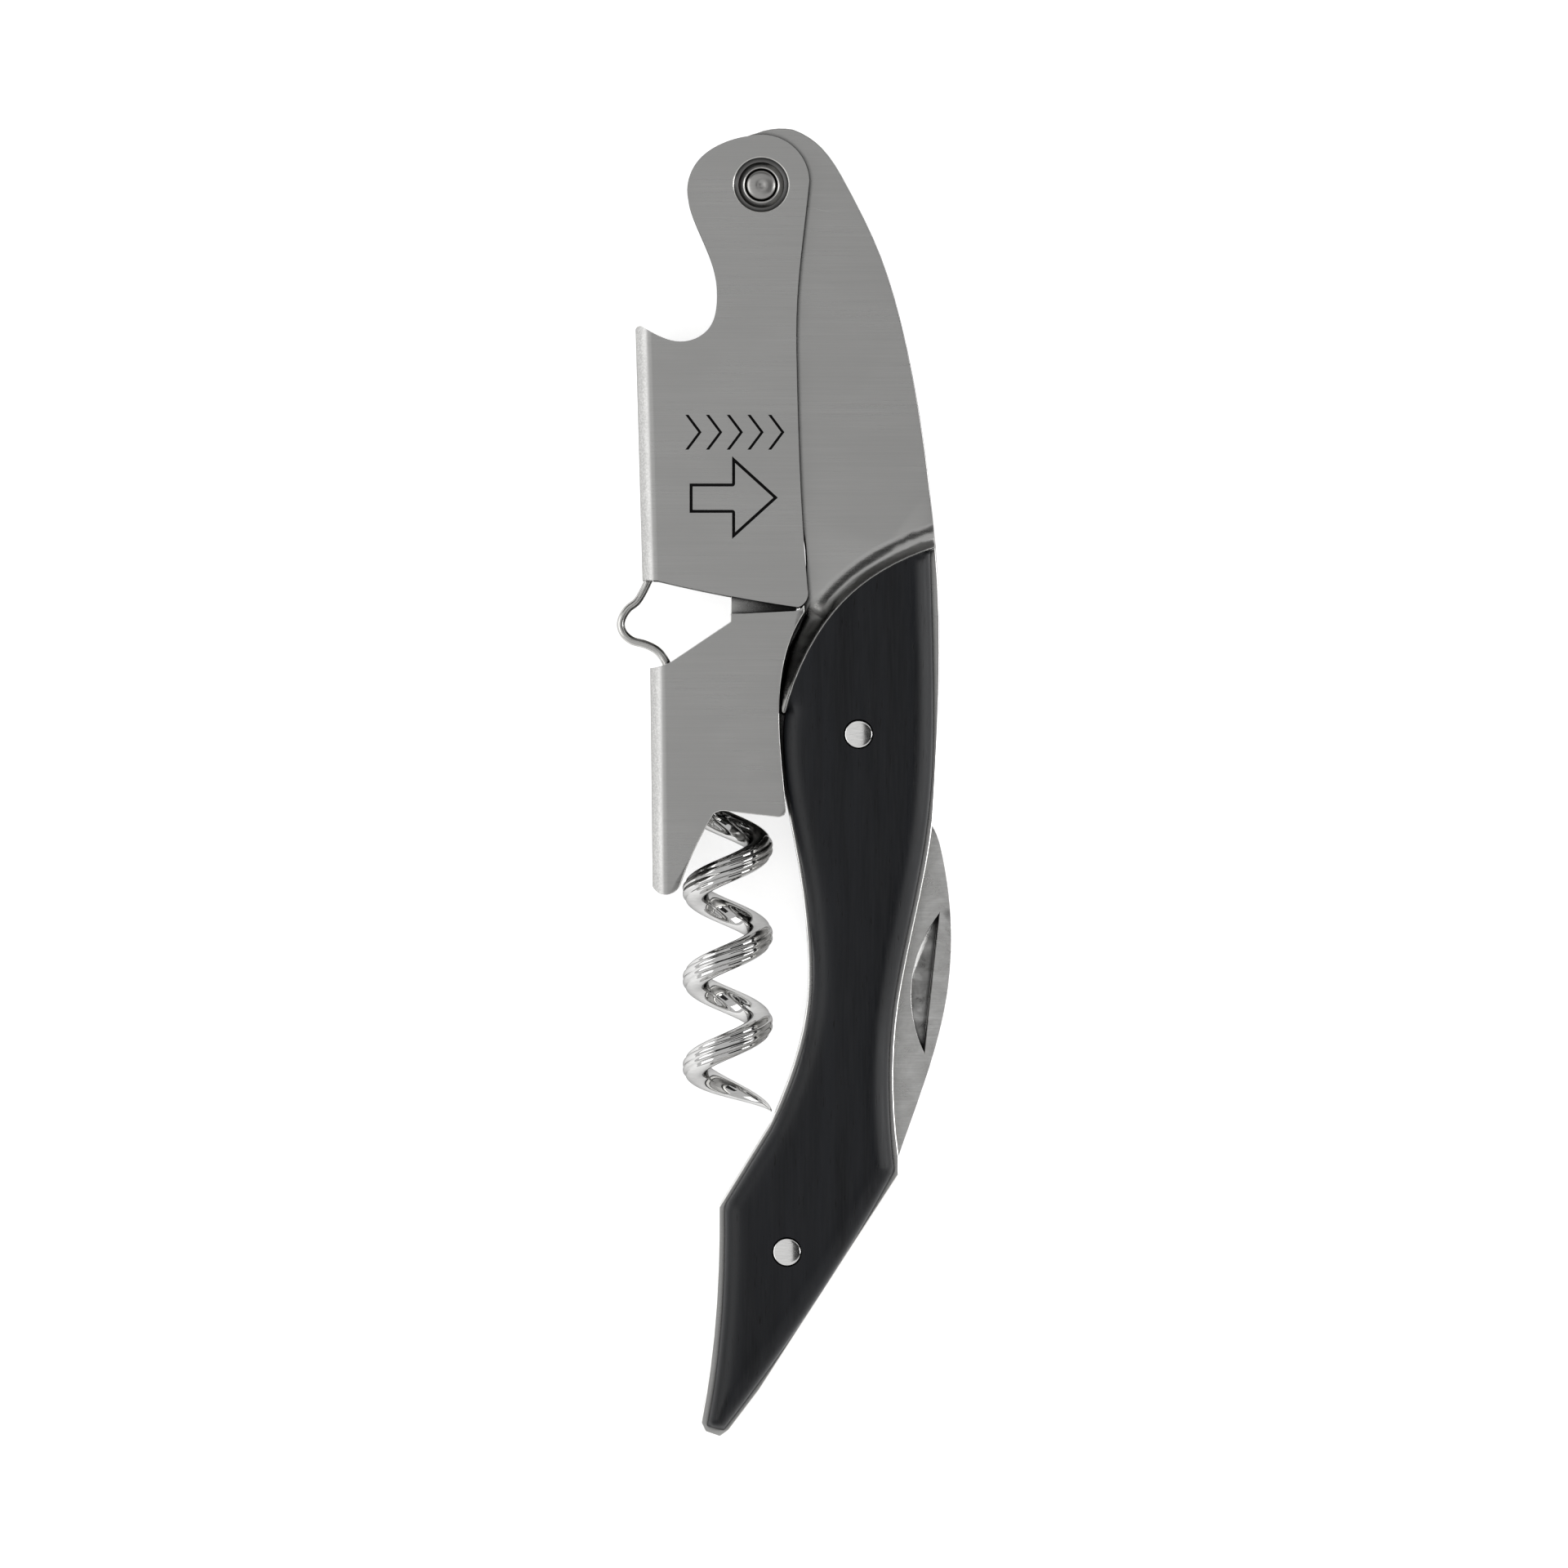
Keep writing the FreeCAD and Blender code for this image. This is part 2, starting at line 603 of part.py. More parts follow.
def along_coil(turn):
    """Centre of the worm's wire after some turns from its point.  The point stands a little wide, and
    the last turn draws in towards the shank."""
    short = max(0.0, 1 - turn / WORM_TAPER_TURNS)
    past = max(0.0, (turn - WORM_FULL_TURNS) / (WORM_TURNS - WORM_FULL_TURNS))
    drawn_in = past * past * (3 - 2 * past)
    full = size("worm_radius")
    spread = full + WORM_POINT_SPREAD * short ** 2 - (full - WORM_TOP_RADIUS) * drawn_in
    angle = -2 * math.pi * turn
    return Vector(WORM_AXIS_X + spread * math.cos(angle), WORM_TIP_Y + size("worm_pitch") * turn,
                  spread * math.sin(angle))


def ring(centre, ahead, across, radius):
    """A circle whose start point lies in the across direction, so that neighbouring rings line up."""
    circle = Part.makeCircle(radius)
    circle.Placement = Placement(centre, Rotation(across, ahead.cross(across), ahead, "ZXY"))
    return Part.Wire([circle])


def along_shank(share):
    """Centre of the wire between the coil and the top of its eye."""
    leaving = along_coil(WORM_TURNS) - along_coil(WORM_TURNS - 0.01)
    line = Part.BSplineCurve()
    line.interpolate([along_coil(WORM_TURNS)] + [Vector(*p) for p in SHANK] + [along_eye(0)],
                     InitialTangent=leaving.normalize(), FinalTangent=Vector(1, 0, 0))
    return line.value(line.FirstParameter + (line.LastParameter - line.FirstParameter) * share)


def along_eye(share):
    """Centre of the wire round the worm's pin, from the top of the eye."""
    angle = math.radians(90 - EYE_ARC * share)
    return flat(WORM_PIVOT) + Vector(math.cos(angle), math.sin(angle), 0) * size("eye_radius")


def make_worm():
    """One wire in a single skin: tapered point, right-handed helix, shank and open eye."""
    steps = round(WORM_TURNS * RINGS_PER_TURN)
    centres = [along_coil(step / RINGS_PER_TURN) for step in range(steps + 1)]
    centres += [along_shank(step / SHANK_RINGS) for step in range(1, SHANK_RINGS)]
    centres += [along_eye(step / EYE_RINGS) for step in range(EYE_RINGS + 1)]
    rings = []
    across = Vector(1, 0, 0)
    for i, centre in enumerate(centres):
        before, after = centres[max(i - 1, 0)], centres[min(i + 1, len(centres) - 1)]
        ahead = (after - before).normalize()
        across = (across - ahead * across.dot(ahead)).normalize()
        taper = math.sin(math.pi / 2 * min(1.0, i / RINGS_PER_TURN / WORM_TAPER_TURNS))
        share = WORM_POINT_SHARE + (1 - WORM_POINT_SHARE) * taper
        rings.append(ring(centre, ahead, across, size("wire_radius") * share))
    return free_shape("worm", Part.makeLoft(rings, True, True))


def rounded_wire(route):
    """Straight runs joined by tangent arcs, in the middle plane."""
    points = [flat(point) for point, _ in route]
    edges = []
    here = points[0]
    for i in range(1, len(points) - 1):
        back = (points[i - 1] - points[i]).normalize()
        ahead = (points[i + 1] - points[i]).normalize()
        half = back.getAngle(ahead) / 2
        reach = route[i][1] / math.tan(half)
        first = points[i] + back * reach
        last = points[i] + ahead * reach
        middle = (back + ahead).normalize()
        depth = route[i][1] / math.sin(half) - route[i][1]
        edges.append(Part.makeLine(here, first))
        edges.append(Part.Arc(first, points[i] + middle * depth, last).toShape())
        here = last
    edges.append(Part.makeLine(here, points[-1]))
    return Part.Wire(edges)


def tube(path, radius):
    """A round wire along a path."""
    start = path.Edges[0]
    centre = start.valueAt(start.FirstParameter)
    direction = start.tangentAt(start.FirstParameter)
    section = Part.Wire([Part.makeCircle(radius, centre, direction)])
    return path.makePipeShell([section], True, False)


def make_lever_pin():
    """Pin of the lever pivot: domed ends with a small dimple."""
    length = size("lever_pin_length")
    radius = size("lever_pin_radius")
    rise = size("pin_dome")
    floor_radius, mouth_radius, depth = DIMPLE
    shaft = post(LEVER_PIVOT, radius, length - 2 * rise)
    ends = []
    for side in (1, -1):
        outward = Vector(0, 0, side)
        tip = Vector(*LEVER_PIVOT, side * length / 2)
        dome = Part.makeCone(radius, radius - rise, rise, tip - outward * rise, outward)
        dimple = Part.makeCone(floor_radius, mouth_radius, depth, tip - outward * depth, outward)
        ends.append(dome.cut(dimple))
    return free_shape("lever_pin", shaft.fuse(ends).removeSplitter())


def make_bush(name, side):
    """Flanged bush of the lever pivot: it spaces the cheek from the liner and rims the pin."""
    inner = size("lever_pin_radius") + size("running_gap")
    low = size("frame_gap") / 2 + size("liner_thickness") + size("running_gap")
    high = size("lever_width") / 2 - size("bush_setback")
    bush = make_tube(LEVER_PIVOT, size("bush_radius"), inner, high - low, low if side > 0 else -high)
    rim = [edge for edge in bush.Edges if in_plane(edge, side * high)]
    return free_shape(name, bush.makeFillet(size("bush_round"), rim))


def pair_of_washers(name, centre, outer, inner, piece_half):
    """Two equal washers that fill the frame gap either side of a moving piece."""
    inside = piece_half + size("running_gap")
    thickness = size("frame_gap") / 2 - inside
    washers = [make_tube(centre, outer, inner, thickness, inside),
               make_tube(centre, outer, inner, thickness, -inside - thickness)]
    return free_shape(name, Part.makeCompound(washers))


sheet = make_sheet()
full_width = 2 * size("half_thickness")
frame_width = size("frame_gap") + 2 * size("liner_thickness")
sleeve_bore = size("link_pin_radius") + size("running_gap")

pieces = {
    "front_liner": make_liner("front_liner", 1),
    "rear_liner": make_liner("rear_liner", -1),
    "bolster_spacer": make_spacer("bolster_spacer", BOLSTER_SPACER, SPACER_DOWELS, size("dowel_radius"),
                                  [(LEVER_PIVOT, size("lever_pin_radius"))]),
    "knife_spring": make_spacer("knife_spring", KNIFE_SPRING, SPRING_DOWELS, size("dowel_radius")),
    "tail_spacer": make_spacer("tail_spacer", TAIL_SPACER, TAIL_DOWELS, DOWEL_TAIL_RADIUS),
    "front_scale": make_scale("front_scale", 1),
    "rear_scale": make_scale("rear_scale", -1),
    "upper_scale_pin": free_shape("upper_scale_pin", post(SCALE_PIN, size("scale_pin_radius"), full_width)),
    "upper_spacer_tube": free_shape("upper_spacer_tube", make_tube(
        SCALE_PIN, size("spacer_tube_radius"), size("scale_pin_radius"), size("frame_gap"))),
    "frame_pins": free_shape("frame_pins", Part.makeCompound(dowels())),
    "worm_pin": free_shape("worm_pin", post(WORM_PIVOT, size("worm_pin_radius"), frame_width)),
    "worm_washers": pair_of_washers("worm_washers", WORM_PIVOT, size("worm_washer_radius"),
                                    size("worm_pin_radius"), size("wire_radius")),
    "lever_pin": make_lever_pin(),
    "knife_pin": free_shape("knife_pin", post(KNIFE_PIVOT, size("scale_pin_radius"), full_width)),
    "knife_washers": pair_of_washers("knife_washers", KNIFE_PIVOT, size("knife_washer_radius"),
                                     size("scale_pin_radius"), size("blade_thickness") / 2),
    "upper_lever": make_upper_lever(),
    "lever_bush_front": make_bush("lever_bush_front", 1),
    "lever_bush_rear": make_bush("lever_bush_rear", -1),
    "link_pin": free_shape("link_pin", post(LINK_PIVOT, size("link_pin_radius"), size("lever_width"))),
    "step_spring": free_shape("step_spring", tube(rounded_wire(SPRING_ROUTE), size("spring_wire"))),
    "lower_lever": make_lower_lever(),
    "link_sleeve": free_shape("link_sleeve", make_tube(
        LINK_PIVOT, size("link_sleeve_radius"), sleeve_bore, size("neck_inner"))),
    "worm": make_worm(),
    "knife_blade": make_blade(),
}
doc.recompute()

problems = [item.Name for item in doc.Objects if "Invalid" in item.State or "Error" in item.State]
for name, piece in pieces.items():
    if piece.Shape.isNull() or not piece.Shape.isValid():
        problems.append(name)
    else:
        print(f"{name:20s} solids {len(piece.Shape.Solids)} volume {piece.Shape.Volume:9.2f}")
if problems:
    raise RuntimeError("failed: " + ", ".join(problems))

os.makedirs("parts", exist_ok=True)
for name, piece in pieces.items():
    piece.Shape.exportStep(f"parts/{name}.step")
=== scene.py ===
import json
import math

import bpy
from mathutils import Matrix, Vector
from mathutils.geometry import delaunay_2d_cdt


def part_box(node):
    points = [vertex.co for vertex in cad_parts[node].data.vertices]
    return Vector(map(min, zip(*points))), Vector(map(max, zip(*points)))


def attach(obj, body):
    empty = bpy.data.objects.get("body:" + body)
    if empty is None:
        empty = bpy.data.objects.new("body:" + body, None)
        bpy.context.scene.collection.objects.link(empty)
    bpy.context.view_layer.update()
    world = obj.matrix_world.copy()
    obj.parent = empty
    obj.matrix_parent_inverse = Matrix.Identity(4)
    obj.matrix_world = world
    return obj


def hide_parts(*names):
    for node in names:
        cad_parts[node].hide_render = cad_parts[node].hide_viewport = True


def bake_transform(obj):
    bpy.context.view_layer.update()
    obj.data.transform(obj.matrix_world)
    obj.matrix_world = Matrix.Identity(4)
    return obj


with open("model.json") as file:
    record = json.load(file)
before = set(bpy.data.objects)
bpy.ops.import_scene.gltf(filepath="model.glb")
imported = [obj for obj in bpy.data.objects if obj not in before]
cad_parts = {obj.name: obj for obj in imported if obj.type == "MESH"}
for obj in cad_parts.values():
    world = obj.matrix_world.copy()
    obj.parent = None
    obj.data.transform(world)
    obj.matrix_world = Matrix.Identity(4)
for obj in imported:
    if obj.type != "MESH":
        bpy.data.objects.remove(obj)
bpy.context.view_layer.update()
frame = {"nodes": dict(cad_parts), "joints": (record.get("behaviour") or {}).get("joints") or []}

# The waiter's corkscrew lies folded on its rear scale.  Metres: +X is right, +Y runs along the handle
# towards the lever pivot, +Z is up, out of the front scale.
MM = 0.001
NODES = frame["nodes"]
JOINTS = {joint["name"]: joint for joint in frame["joints"]}


def joint_at(name):
    return Vector(JOINTS[name]["pos_m"])


# The object's middle plane, half way between front and rear.
MID_Z = joint_at("lever_swing").z

# Looks.  A crevice shade is painted shade where little sky is seen, given as (reach, sky below which it
# is dark, sky above which it is clear).
EDGE_TINT = (0.45, 0.45, 0.45, 1.0)
CREVICE_SHADE = (1.3 * MM, 0.52, 0.80)
RIM_CREVICE_SHADE = (0.9 * MM, 0.50, 0.74)
# Colour of the painted highlight on edges and side faces.
RIM_HIGHLIGHT = (0.90, 0.895, 0.87)
SCOOP_FROM_Y = 1.0 * MM

# The field of engraved marks on the lever, and the heights of their floors.
MARKS_X = (-18.5 * MM, -6.3 * MM)
MARKS_Y = (15.0 * MM, 33.0 * MM)
MARKS_Z = (MID_Z + 5.30 * MM, MID_Z + 5.46 * MM)

# The bent edge of each folded sheet starts left of these.
LEVER_BEND_X = -18.5 * MM
FOOT_BEND_X = -17.2 * MM

# The round recess about the lever pivot gets painted shade, darker from its foot to its wall, and a
# painted highlight round its mouth.
RECESS_RADIUS = 2.51 * MM
RECESS_SHADE = (2.1 * MM, 2.4 * MM)
RECESS_FOOT_SHADE = (0.34, 0.34, 0.34)
RECESS_WALL_SHADE = (0.07, 0.07, 0.07)

# Wood scales: how far the round comes in from a free edge, how far it falls, and the mesh's spacing.
SCALE_CROWN = 2.2 * MM
SCALE_DROP = 1.75 * MM
RIM_SPACING = 0.45 * MM
GRID_SPACING = 0.9 * MM
GRID_CLEARANCE = 2.5 * MM
RIM_INSETS_MM = (0.10, 0.24, 0.42, 0.66, 0.95, 1.3, 1.7, 2.15)
BOLSTER_CORNER = Vector((6.3 * MM, 1.95 * MM))

# Pins: gap to the wood, clearance of the mesh round the hole, softened rim and dome.
PIN_HOLE_GAP = 0.07 * MM
PIN_HOLE_CLEARANCE = 0.12 * MM
PIN_RIM = 0.16 * MM
PIN_DOME = 0.05 * MM

# Worm: wire radius, helix, taper at the point in turns, and the open eye between two angles in degrees.
WIRE = 1.2 * MM
COIL_RADIUS = 3.0 * MM
COIL_TOP_RADIUS = 1.3 * MM
COIL_PITCH = 8.1 * MM
COIL_TURNS = 4.75
COIL_TAPER = 0.5
STEPS_PER_TURN = 64
POINT_FLARE = 1.0 * MM
POINT_SHARE = 0.06
TIP_BELOW_EYE = 39.92 * MM
EYE_RADIUS = 2.45 * MM
EYE_ANGLES = (90, -140)
EYE_STEPS = 24
SHANK_MM = ((-9.4, 5.5, 0.8), (-6.6, 7.0, 0.2))

# Flutes of the worm's wire: angles of their middles in radians, depth as a share, and width.
FLUTES = (-0.6, 0.0, 0.6)
FLUTE_DEPTH = 0.12
FLUTE_WIDTH = 0.13

# The step spring's wire in the middle plane, from the lever to the foot.
SPRING_RADIUS = 0.38 * MM
SPRING_END_RADIUS = 0.3 * MM
SPRING_LINE_MM = (
    (-18.60, 24.6), (-18.50, 21.0), (-18.42, 17.6), (-18.85, 15.5), (-19.38, 14.07), (-20.29, 12.38),
    (-21.19, 11.61), (-21.71, 10.83), (-21.87, 10.05), (-21.58, 9.27), (-20.81, 8.63), (-19.64, 8.30),
    (-18.60, 7.78), (-17.96, 7.07), (-17.60, 6.20), (-17.45, 4.0), (-17.50, 1.0), (-17.55, -1.6))

# Turned profiles at the lever pivot, as (radius, height over the middle plane).
LATHE_STEPS = 72
BUSH_PROFILE_MM = (
    (2.09, 4.50), (2.09, 4.72), (2.0, 4.80), (1.86, 4.95), (1.74, 5.12), (1.66, 5.22), (1.60, 5.25),
    (1.54, 5.22), (1.50, 5.12), (1.50, 4.50))
PIN_PROFILE_MM = (
    (1.35, 0.0), (1.35, 5.00), (1.33, 5.10), (1.27, 5.18), (1.15, 5.25), (0.95, 5.30), (0.70, 5.34),
    (0.50, 5.35), (0.38, 5.33), (0.26, 5.28), (0.12, 5.25), (0.01, 5.245))

# Studio.  The cards stand farther off than any camera.
CARD_DISTANCE = 1.7
CAMERA_AIM = Vector((-6.84 * MM, -4.57 * MM, MID_Z))
CAMERA_DISTANCE = 1.2
FRAME_WIDTH = 144.5 * MM
SENSOR_WIDTH = 36.0


# ---------------------------------------------------------------- material helpers

def new_material(name):
    material = bpy.data.materials.new(name)
    material.use_nodes = True
    nodes = material.node_tree.nodes
    nodes.clear()
    output = nodes.new("ShaderNodeOutputMaterial")
    shader = nodes.new("ShaderNodeBsdfPrincipled")
    material.node_tree.links.new(shader.outputs["BSDF"], output.inputs["Surface"])
    return material, shader


class Graph:
    """Short names for the nodes that every material here is built from."""

    def __init__(self, material):
        self.tree = material.node_tree

    def node(self, kind, **settings):
        made = self.tree.nodes.new(kind)
        for key, value in settings.items():
            setattr(made, key, value)
        return made

    def link(self, source, target):
        self.tree.links.new(source, target)

    def place(self, scale=(1, 1, 1), turn=(0, 0, 0)):
        """Object coordinates in millimetres, stretched by scale."""
        coords = self.node("ShaderNodeTexCoord")
        mapping = self.node("ShaderNodeMapping")
        mapping.inputs["Scale"].default_value = [1000 * s for s in scale]
        mapping.inputs["Rotation"].default_value = turn
        self.link(coords.outputs["Object"], mapping.inputs["Vector"])
        return mapping.outputs["Vector"]

    def noise(self, vector, scale=1.0, detail=2.0, rough=0.5, distortion=0.0):
        made = self.node("ShaderNodeTexNoise")
        made.inputs["Scale"].default_value = scale
        made.inputs["Detail"].default_value = detail
        made.inputs["Roughness"].default_value = rough
        made.inputs["Distortion"].default_value = distortion
        self.link(vector, made.inputs["Vector"])
        return made.outputs["Fac"]

    def ramp(self, value, low, high, out_low=0.0, out_high=1.0, smooth=False):
        made = self.node("ShaderNodeMapRange")
        made.interpolation_type = "SMOOTHSTEP" if smooth else "LINEAR"
        made.inputs["From Min"].default_value = low
        made.inputs["From Max"].default_value = high
        made.inputs["To Min"].default_value = out_low
        made.inputs["To Max"].default_value = out_high
        self.link(value, made.inputs["Value"])
        return made.outputs["Result"]

    def math(self, operation, first, second):
        made = self.node("ShaderNodeMath", operation=operation)
        for socket, value in zip(made.inputs, (first, second)):
            if isinstance(value, (int, float)):
                socket.default_value = value
            else:
                self.link(value, socket)
        return made.outputs["Value"]

    def mix(self, share, first, second):
        """Mixes two colours, each given as a tuple or an output."""
        made = self.node("ShaderNodeMix", data_type="RGBA")
        self.link(share, made.inputs["Factor"])
        for socket, value in zip((made.inputs[6], made.inputs[7]), (first, second)):
            if isinstance(value, tuple):
                socket.default_value = (*value, 1.0)
            else:
                self.link(value, socket)
        return made.outputs[2]

    def bump(self, height, strength, distance, before=None):
        made = self.node("ShaderNodeBump")
        made.inputs["Strength"].default_value = strength
        made.inputs["Distance"].default_value = distance
        self.link(height, made.inputs["Height"])
        if before is not None:
            self.link(before, made.inputs["Normal"])
        return made.outputs["Normal"]

    def axes(self, output):
        """X, Y and Z of one output of the texture coordinates."""
        coords = self.node("ShaderNodeTexCoord")
        split = self.node("ShaderNodeSeparateXYZ")
        self.link(coords.outputs[output], split.inputs["Vector"])
        return split.outputs

    def position(self):
        """The point in object space, in metres."""
        return self.axes("Object")

    def facing(self):
        """The surface normal in object space."""
        return self.axes("Normal")

    def flatness(self):
        """1 on a face turned up or down, 0 on one turned to the side."""
        return self.math("ABSOLUTE", self.facing()["Z"], 0.0)

    def crevice(self, reach, closed, clear):
        """0 deep in a crevice, 1 in the open: the mask for painted shade, dark where little sky is
        seen.
        """
        made = self.node("ShaderNodeAmbientOcclusion")
        made.samples = 8
        made.inputs["Distance"].default_value = reach
        return self.ramp(made.outputs["AO"], closed, clear, smooth=True)

    def span(self, value, low, high, soft=0.1 * MM):
        """1 between two values, 0 outside them."""
        above = self.ramp(value, low - soft, low)
        return self.math("MULTIPLY", above, self.ramp(value, high, high + soft, 1.0, 0.0))

    def distance_from(self, centre):
        """Distance in the XY plane from a point."""
        where = self.position()
        across = self.math("SUBTRACT", where["X"], centre.x)
        along = self.math("SUBTRACT", where["Y"], centre.y)
        square = self.math("ADD", self.math("MULTIPLY", across, across),
                           self.math("MULTIPLY", along, along))
        return self.math("POWER", square, 0.5)


def as_metal(shader):
    shader.inputs["Metallic"].default_value = 1.0
    shader.inputs["Specular Tint"].default_value = EDGE_TINT


def scaled(tone, factor):
    return tuple(channel * factor for channel in tone)


def rim_highlight_and_polish(g, colour, roughness):
    """Paints a highlight onto the faces that are turned to the side and polishes them; in the scoop
    they get no painted highlight.
    """
    turned = g.ramp(g.flatness(), 0.97, 0.80)
    clear_of_scoop = g.ramp(g.position()["Y"], SCOOP_FROM_Y - 3 * MM, SCOOP_FROM_Y, 1.0, 0.0)
    highlighted_rim = g.math("MULTIPLY", turned, clear_of_scoop)
    # Painted highlight on the side faces, outside the scoop.
    colour = g.mix(g.math("MULTIPLY", highlighted_rim, 0.85), colour, RIM_HIGHLIGHT)
    roughness = g.math("SUBTRACT", roughness, g.math("MULTIPLY", turned, 0.12))
    return colour, roughness


def bent_sheet(g, tone, bend_x, colour, roughness, normal):
    """Gives a folded sheet its speckled bend, painted highlights on its sloping edges, and painted
    shade in the pivot recess with a painted highlight round its mouth.
    """
    flatness = g.flatness()
    speckle = g.noise(g.place((5.5, 5.5, 5.5)), detail=3.0, rough=0.7)
    leftward = g.math("MULTIPLY", g.facing()["X"], -1.0)
    sideways = g.ramp(leftward, 0.15, 0.65, smooth=True)
    pitted = g.mix(g.ramp(speckle, 0.42, 0.62), scaled(tone, 0.98), scaled(tone, 1.3))
    colour = g.mix(sideways, colour, pitted)
    roughness = g.math("ADD", roughness, g.math("MULTIPLY", sideways, 0.20))
    normal = g.bump(g.math("MULTIPLY", speckle, sideways), 0.35, 0.03 * MM, normal)
    clear_of_bend = g.ramp(g.position()["X"], bend_x - 0.1 * MM, bend_x)
    from_pivot = g.distance_from(joint_at("lever_swing"))
    # Painted shade into the pivot recess, and a painted highlight on the sloping edge faces outside it.
    painted_recess_shade = g.mix(g.ramp(from_pivot, *RECESS_SHADE), RECESS_FOOT_SHADE, RECESS_WALL_SHADE)
    edge_highlight_and_recess_shade = g.mix(g.math("GREATER_THAN", from_pivot, RECESS_RADIUS), painted_recess_shade, RIM_HIGHLIGHT)
    sloping = g.math("MULTIPLY", g.span(flatness, 0.20, 0.95, 0.04), clear_of_bend)
    return g.mix(sloping, colour, edge_highlight_and_recess_shade), roughness, normal


# Colours the floors of the engraved marks near black.
def darken_mark_floors(g, mark_floor_heights, colour, roughness):
    """Darkens the floors of the engraved marks."""
    where = g.position()
    upward = g.ramp(g.facing()["Z"], -0.2, 0.0)
    band = g.math("MULTIPLY", g.span(where["Z"], *mark_floor_heights, 0.01 * MM), upward)
    among_marks = g.math("MULTIPLY", g.span(where["X"], *MARKS_X), g.span(where["Y"], *MARKS_Y))
    mask = g.math("MULTIPLY", band, among_marks)
    colour = g.mix(mask, colour, (0.012, 0.012, 0.012))
    return colour, g.math("ADD", roughness, g.math("MULTIPLY", mask, 0.3))


def brushed_steel(name, tone=(0.47, 0.468, 0.46), rough=0.30, bend_x=None, mark_floor_heights=None, rim=False):
    """Satin steel brushed along X, with painted shade in its crevices.  Left of bend_x a folded sheet
    has its bend; right of it
    the sloping edges get a painted highlight and the pivot recess painted shade.  The mark floor
    heights are (low z, high z):
    between these heights the marks are dark.  rim paints a highlight on the faces that are turned to
    the side and polishes them."""
    material, shader = new_material(name)
    g = Graph(material)
    streaks = g.noise(g.place((0.10, 9.0, 1.0)), detail=4.0, rough=0.62)
    long_streaks = g.noise(g.place((0.035, 2.6, 0.6)), detail=3.0, rough=0.55)
    clouds = g.noise(g.place((0.11, 0.22, 0.2)), detail=2.0, rough=0.5)
    lines = g.math("ADD", g.math("MULTIPLY", streaks, 0.75), g.math("MULTIPLY", long_streaks, 0.25))
    colour = g.mix(g.ramp(lines, 0.33, 0.67), scaled(tone, 0.93), scaled(tone, 1.06))
    cloudy = g.ramp(clouds, 0.35, 0.65, 0.0, 0.5, smooth=True)
    colour = g.mix(cloudy, colour, scaled(tone, 0.94))
    roughness = g.math("ADD", g.ramp(lines, 0.3, 0.7, rough - 0.04, rough + 0.05),
                       g.ramp(clouds, 0.3, 0.7, -0.02, 0.03))
    normal = g.bump(lines, 0.05, 0.02 * MM)
    # Painted shade: crevices, where little sky is seen, are painted near black.
    colour = g.mix(g.crevice(*(RIM_CREVICE_SHADE if rim else CREVICE_SHADE)), (0.015, 0.015, 0.015), colour)
    if rim:
        colour, roughness = rim_highlight_and_polish(g, colour, roughness)
    if bend_x is not None:
        colour, roughness, normal = bent_sheet(g, tone, bend_x, colour, roughness, normal)
    if mark_floor_heights is not None:
        colour, roughness = darken_mark_floors(g, mark_floor_heights, colour, roughness)
    g.link(colour, shader.inputs["Base Color"])
    g.link(roughness, shader.inputs["Roughness"])
    g.link(normal, shader.inputs["Normal"])
    as_metal(shader)
    return material


def polished_steel(name, tone=(0.88, 0.875, 0.865), rough=0.10, scuffs=0.06):
    """Bright steel with faint scuffs."""
    material, shader = new_material(name)
    g = Graph(material)
    scratches = g.noise(g.place((1.2, 7.0, 1.2), (0.3, 0.2, 0.9)), detail=3.0, rough=0.6)
    haze = g.noise(g.place((0.5, 0.5, 0.5)), detail=2.0)
    colour = g.mix(g.ramp(scratches, 0.3, 0.75), tone, scaled(tone, 0.88))
    roughness = g.math("ADD", g.ramp(scratches, 0.45, 0.75, rough, rough + scuffs),
                       g.ramp(haze, 0.3, 0.7, 0.0, scuffs * 0.5))
    g.link(colour, shader.inputs["Base Color"])
    g.link(roughness, shader.inputs["Roughness"])
    g.link(g.bump(scratches, 0.04, 0.01 * MM), shader.inputs["Normal"])
    as_metal(shader)
    return material


def mottled_blade(name):
    """Blade steel: satin with an uneven, slightly stained bloom and fine grinding lines."""
    material, shader = new_material(name)
    g = Graph(material)
    bloom = g.noise(g.place((0.35, 0.55, 0.5)), detail=6.0, rough=0.68, distortion=0.6)
    grain = g.noise(g.place((0.35, 8.0, 1.0), (0, 0, 0.35)), detail=3.0, rough=0.6)
    colour = g.mix(g.ramp(bloom, 0.35, 0.65), (0.50, 0.495, 0.485), (0.72, 0.72, 0.71))
    colour = g.mix(g.ramp(grain, 0.35, 0.65, 0.0, 0.35), colour, (0.42, 0.42, 0.41))
    # Painted shade: crevices, where little sky is seen, are painted near black.
    colour = g.mix(g.crevice(*CREVICE_SHADE), (0.03, 0.03, 0.03), colour)
    g.link(colour, shader.inputs["Base Color"])
    g.link(g.ramp(bloom, 0.3, 0.7, 0.22, 0.42), shader.inputs["Roughness"])
    normal = g.bump(grain, 0.08, 0.02 * MM)
    g.link(g.bump(bloom, 0.12, 0.05 * MM, normal), shader.inputs["Normal"])
    as_metal(shader)
    return material


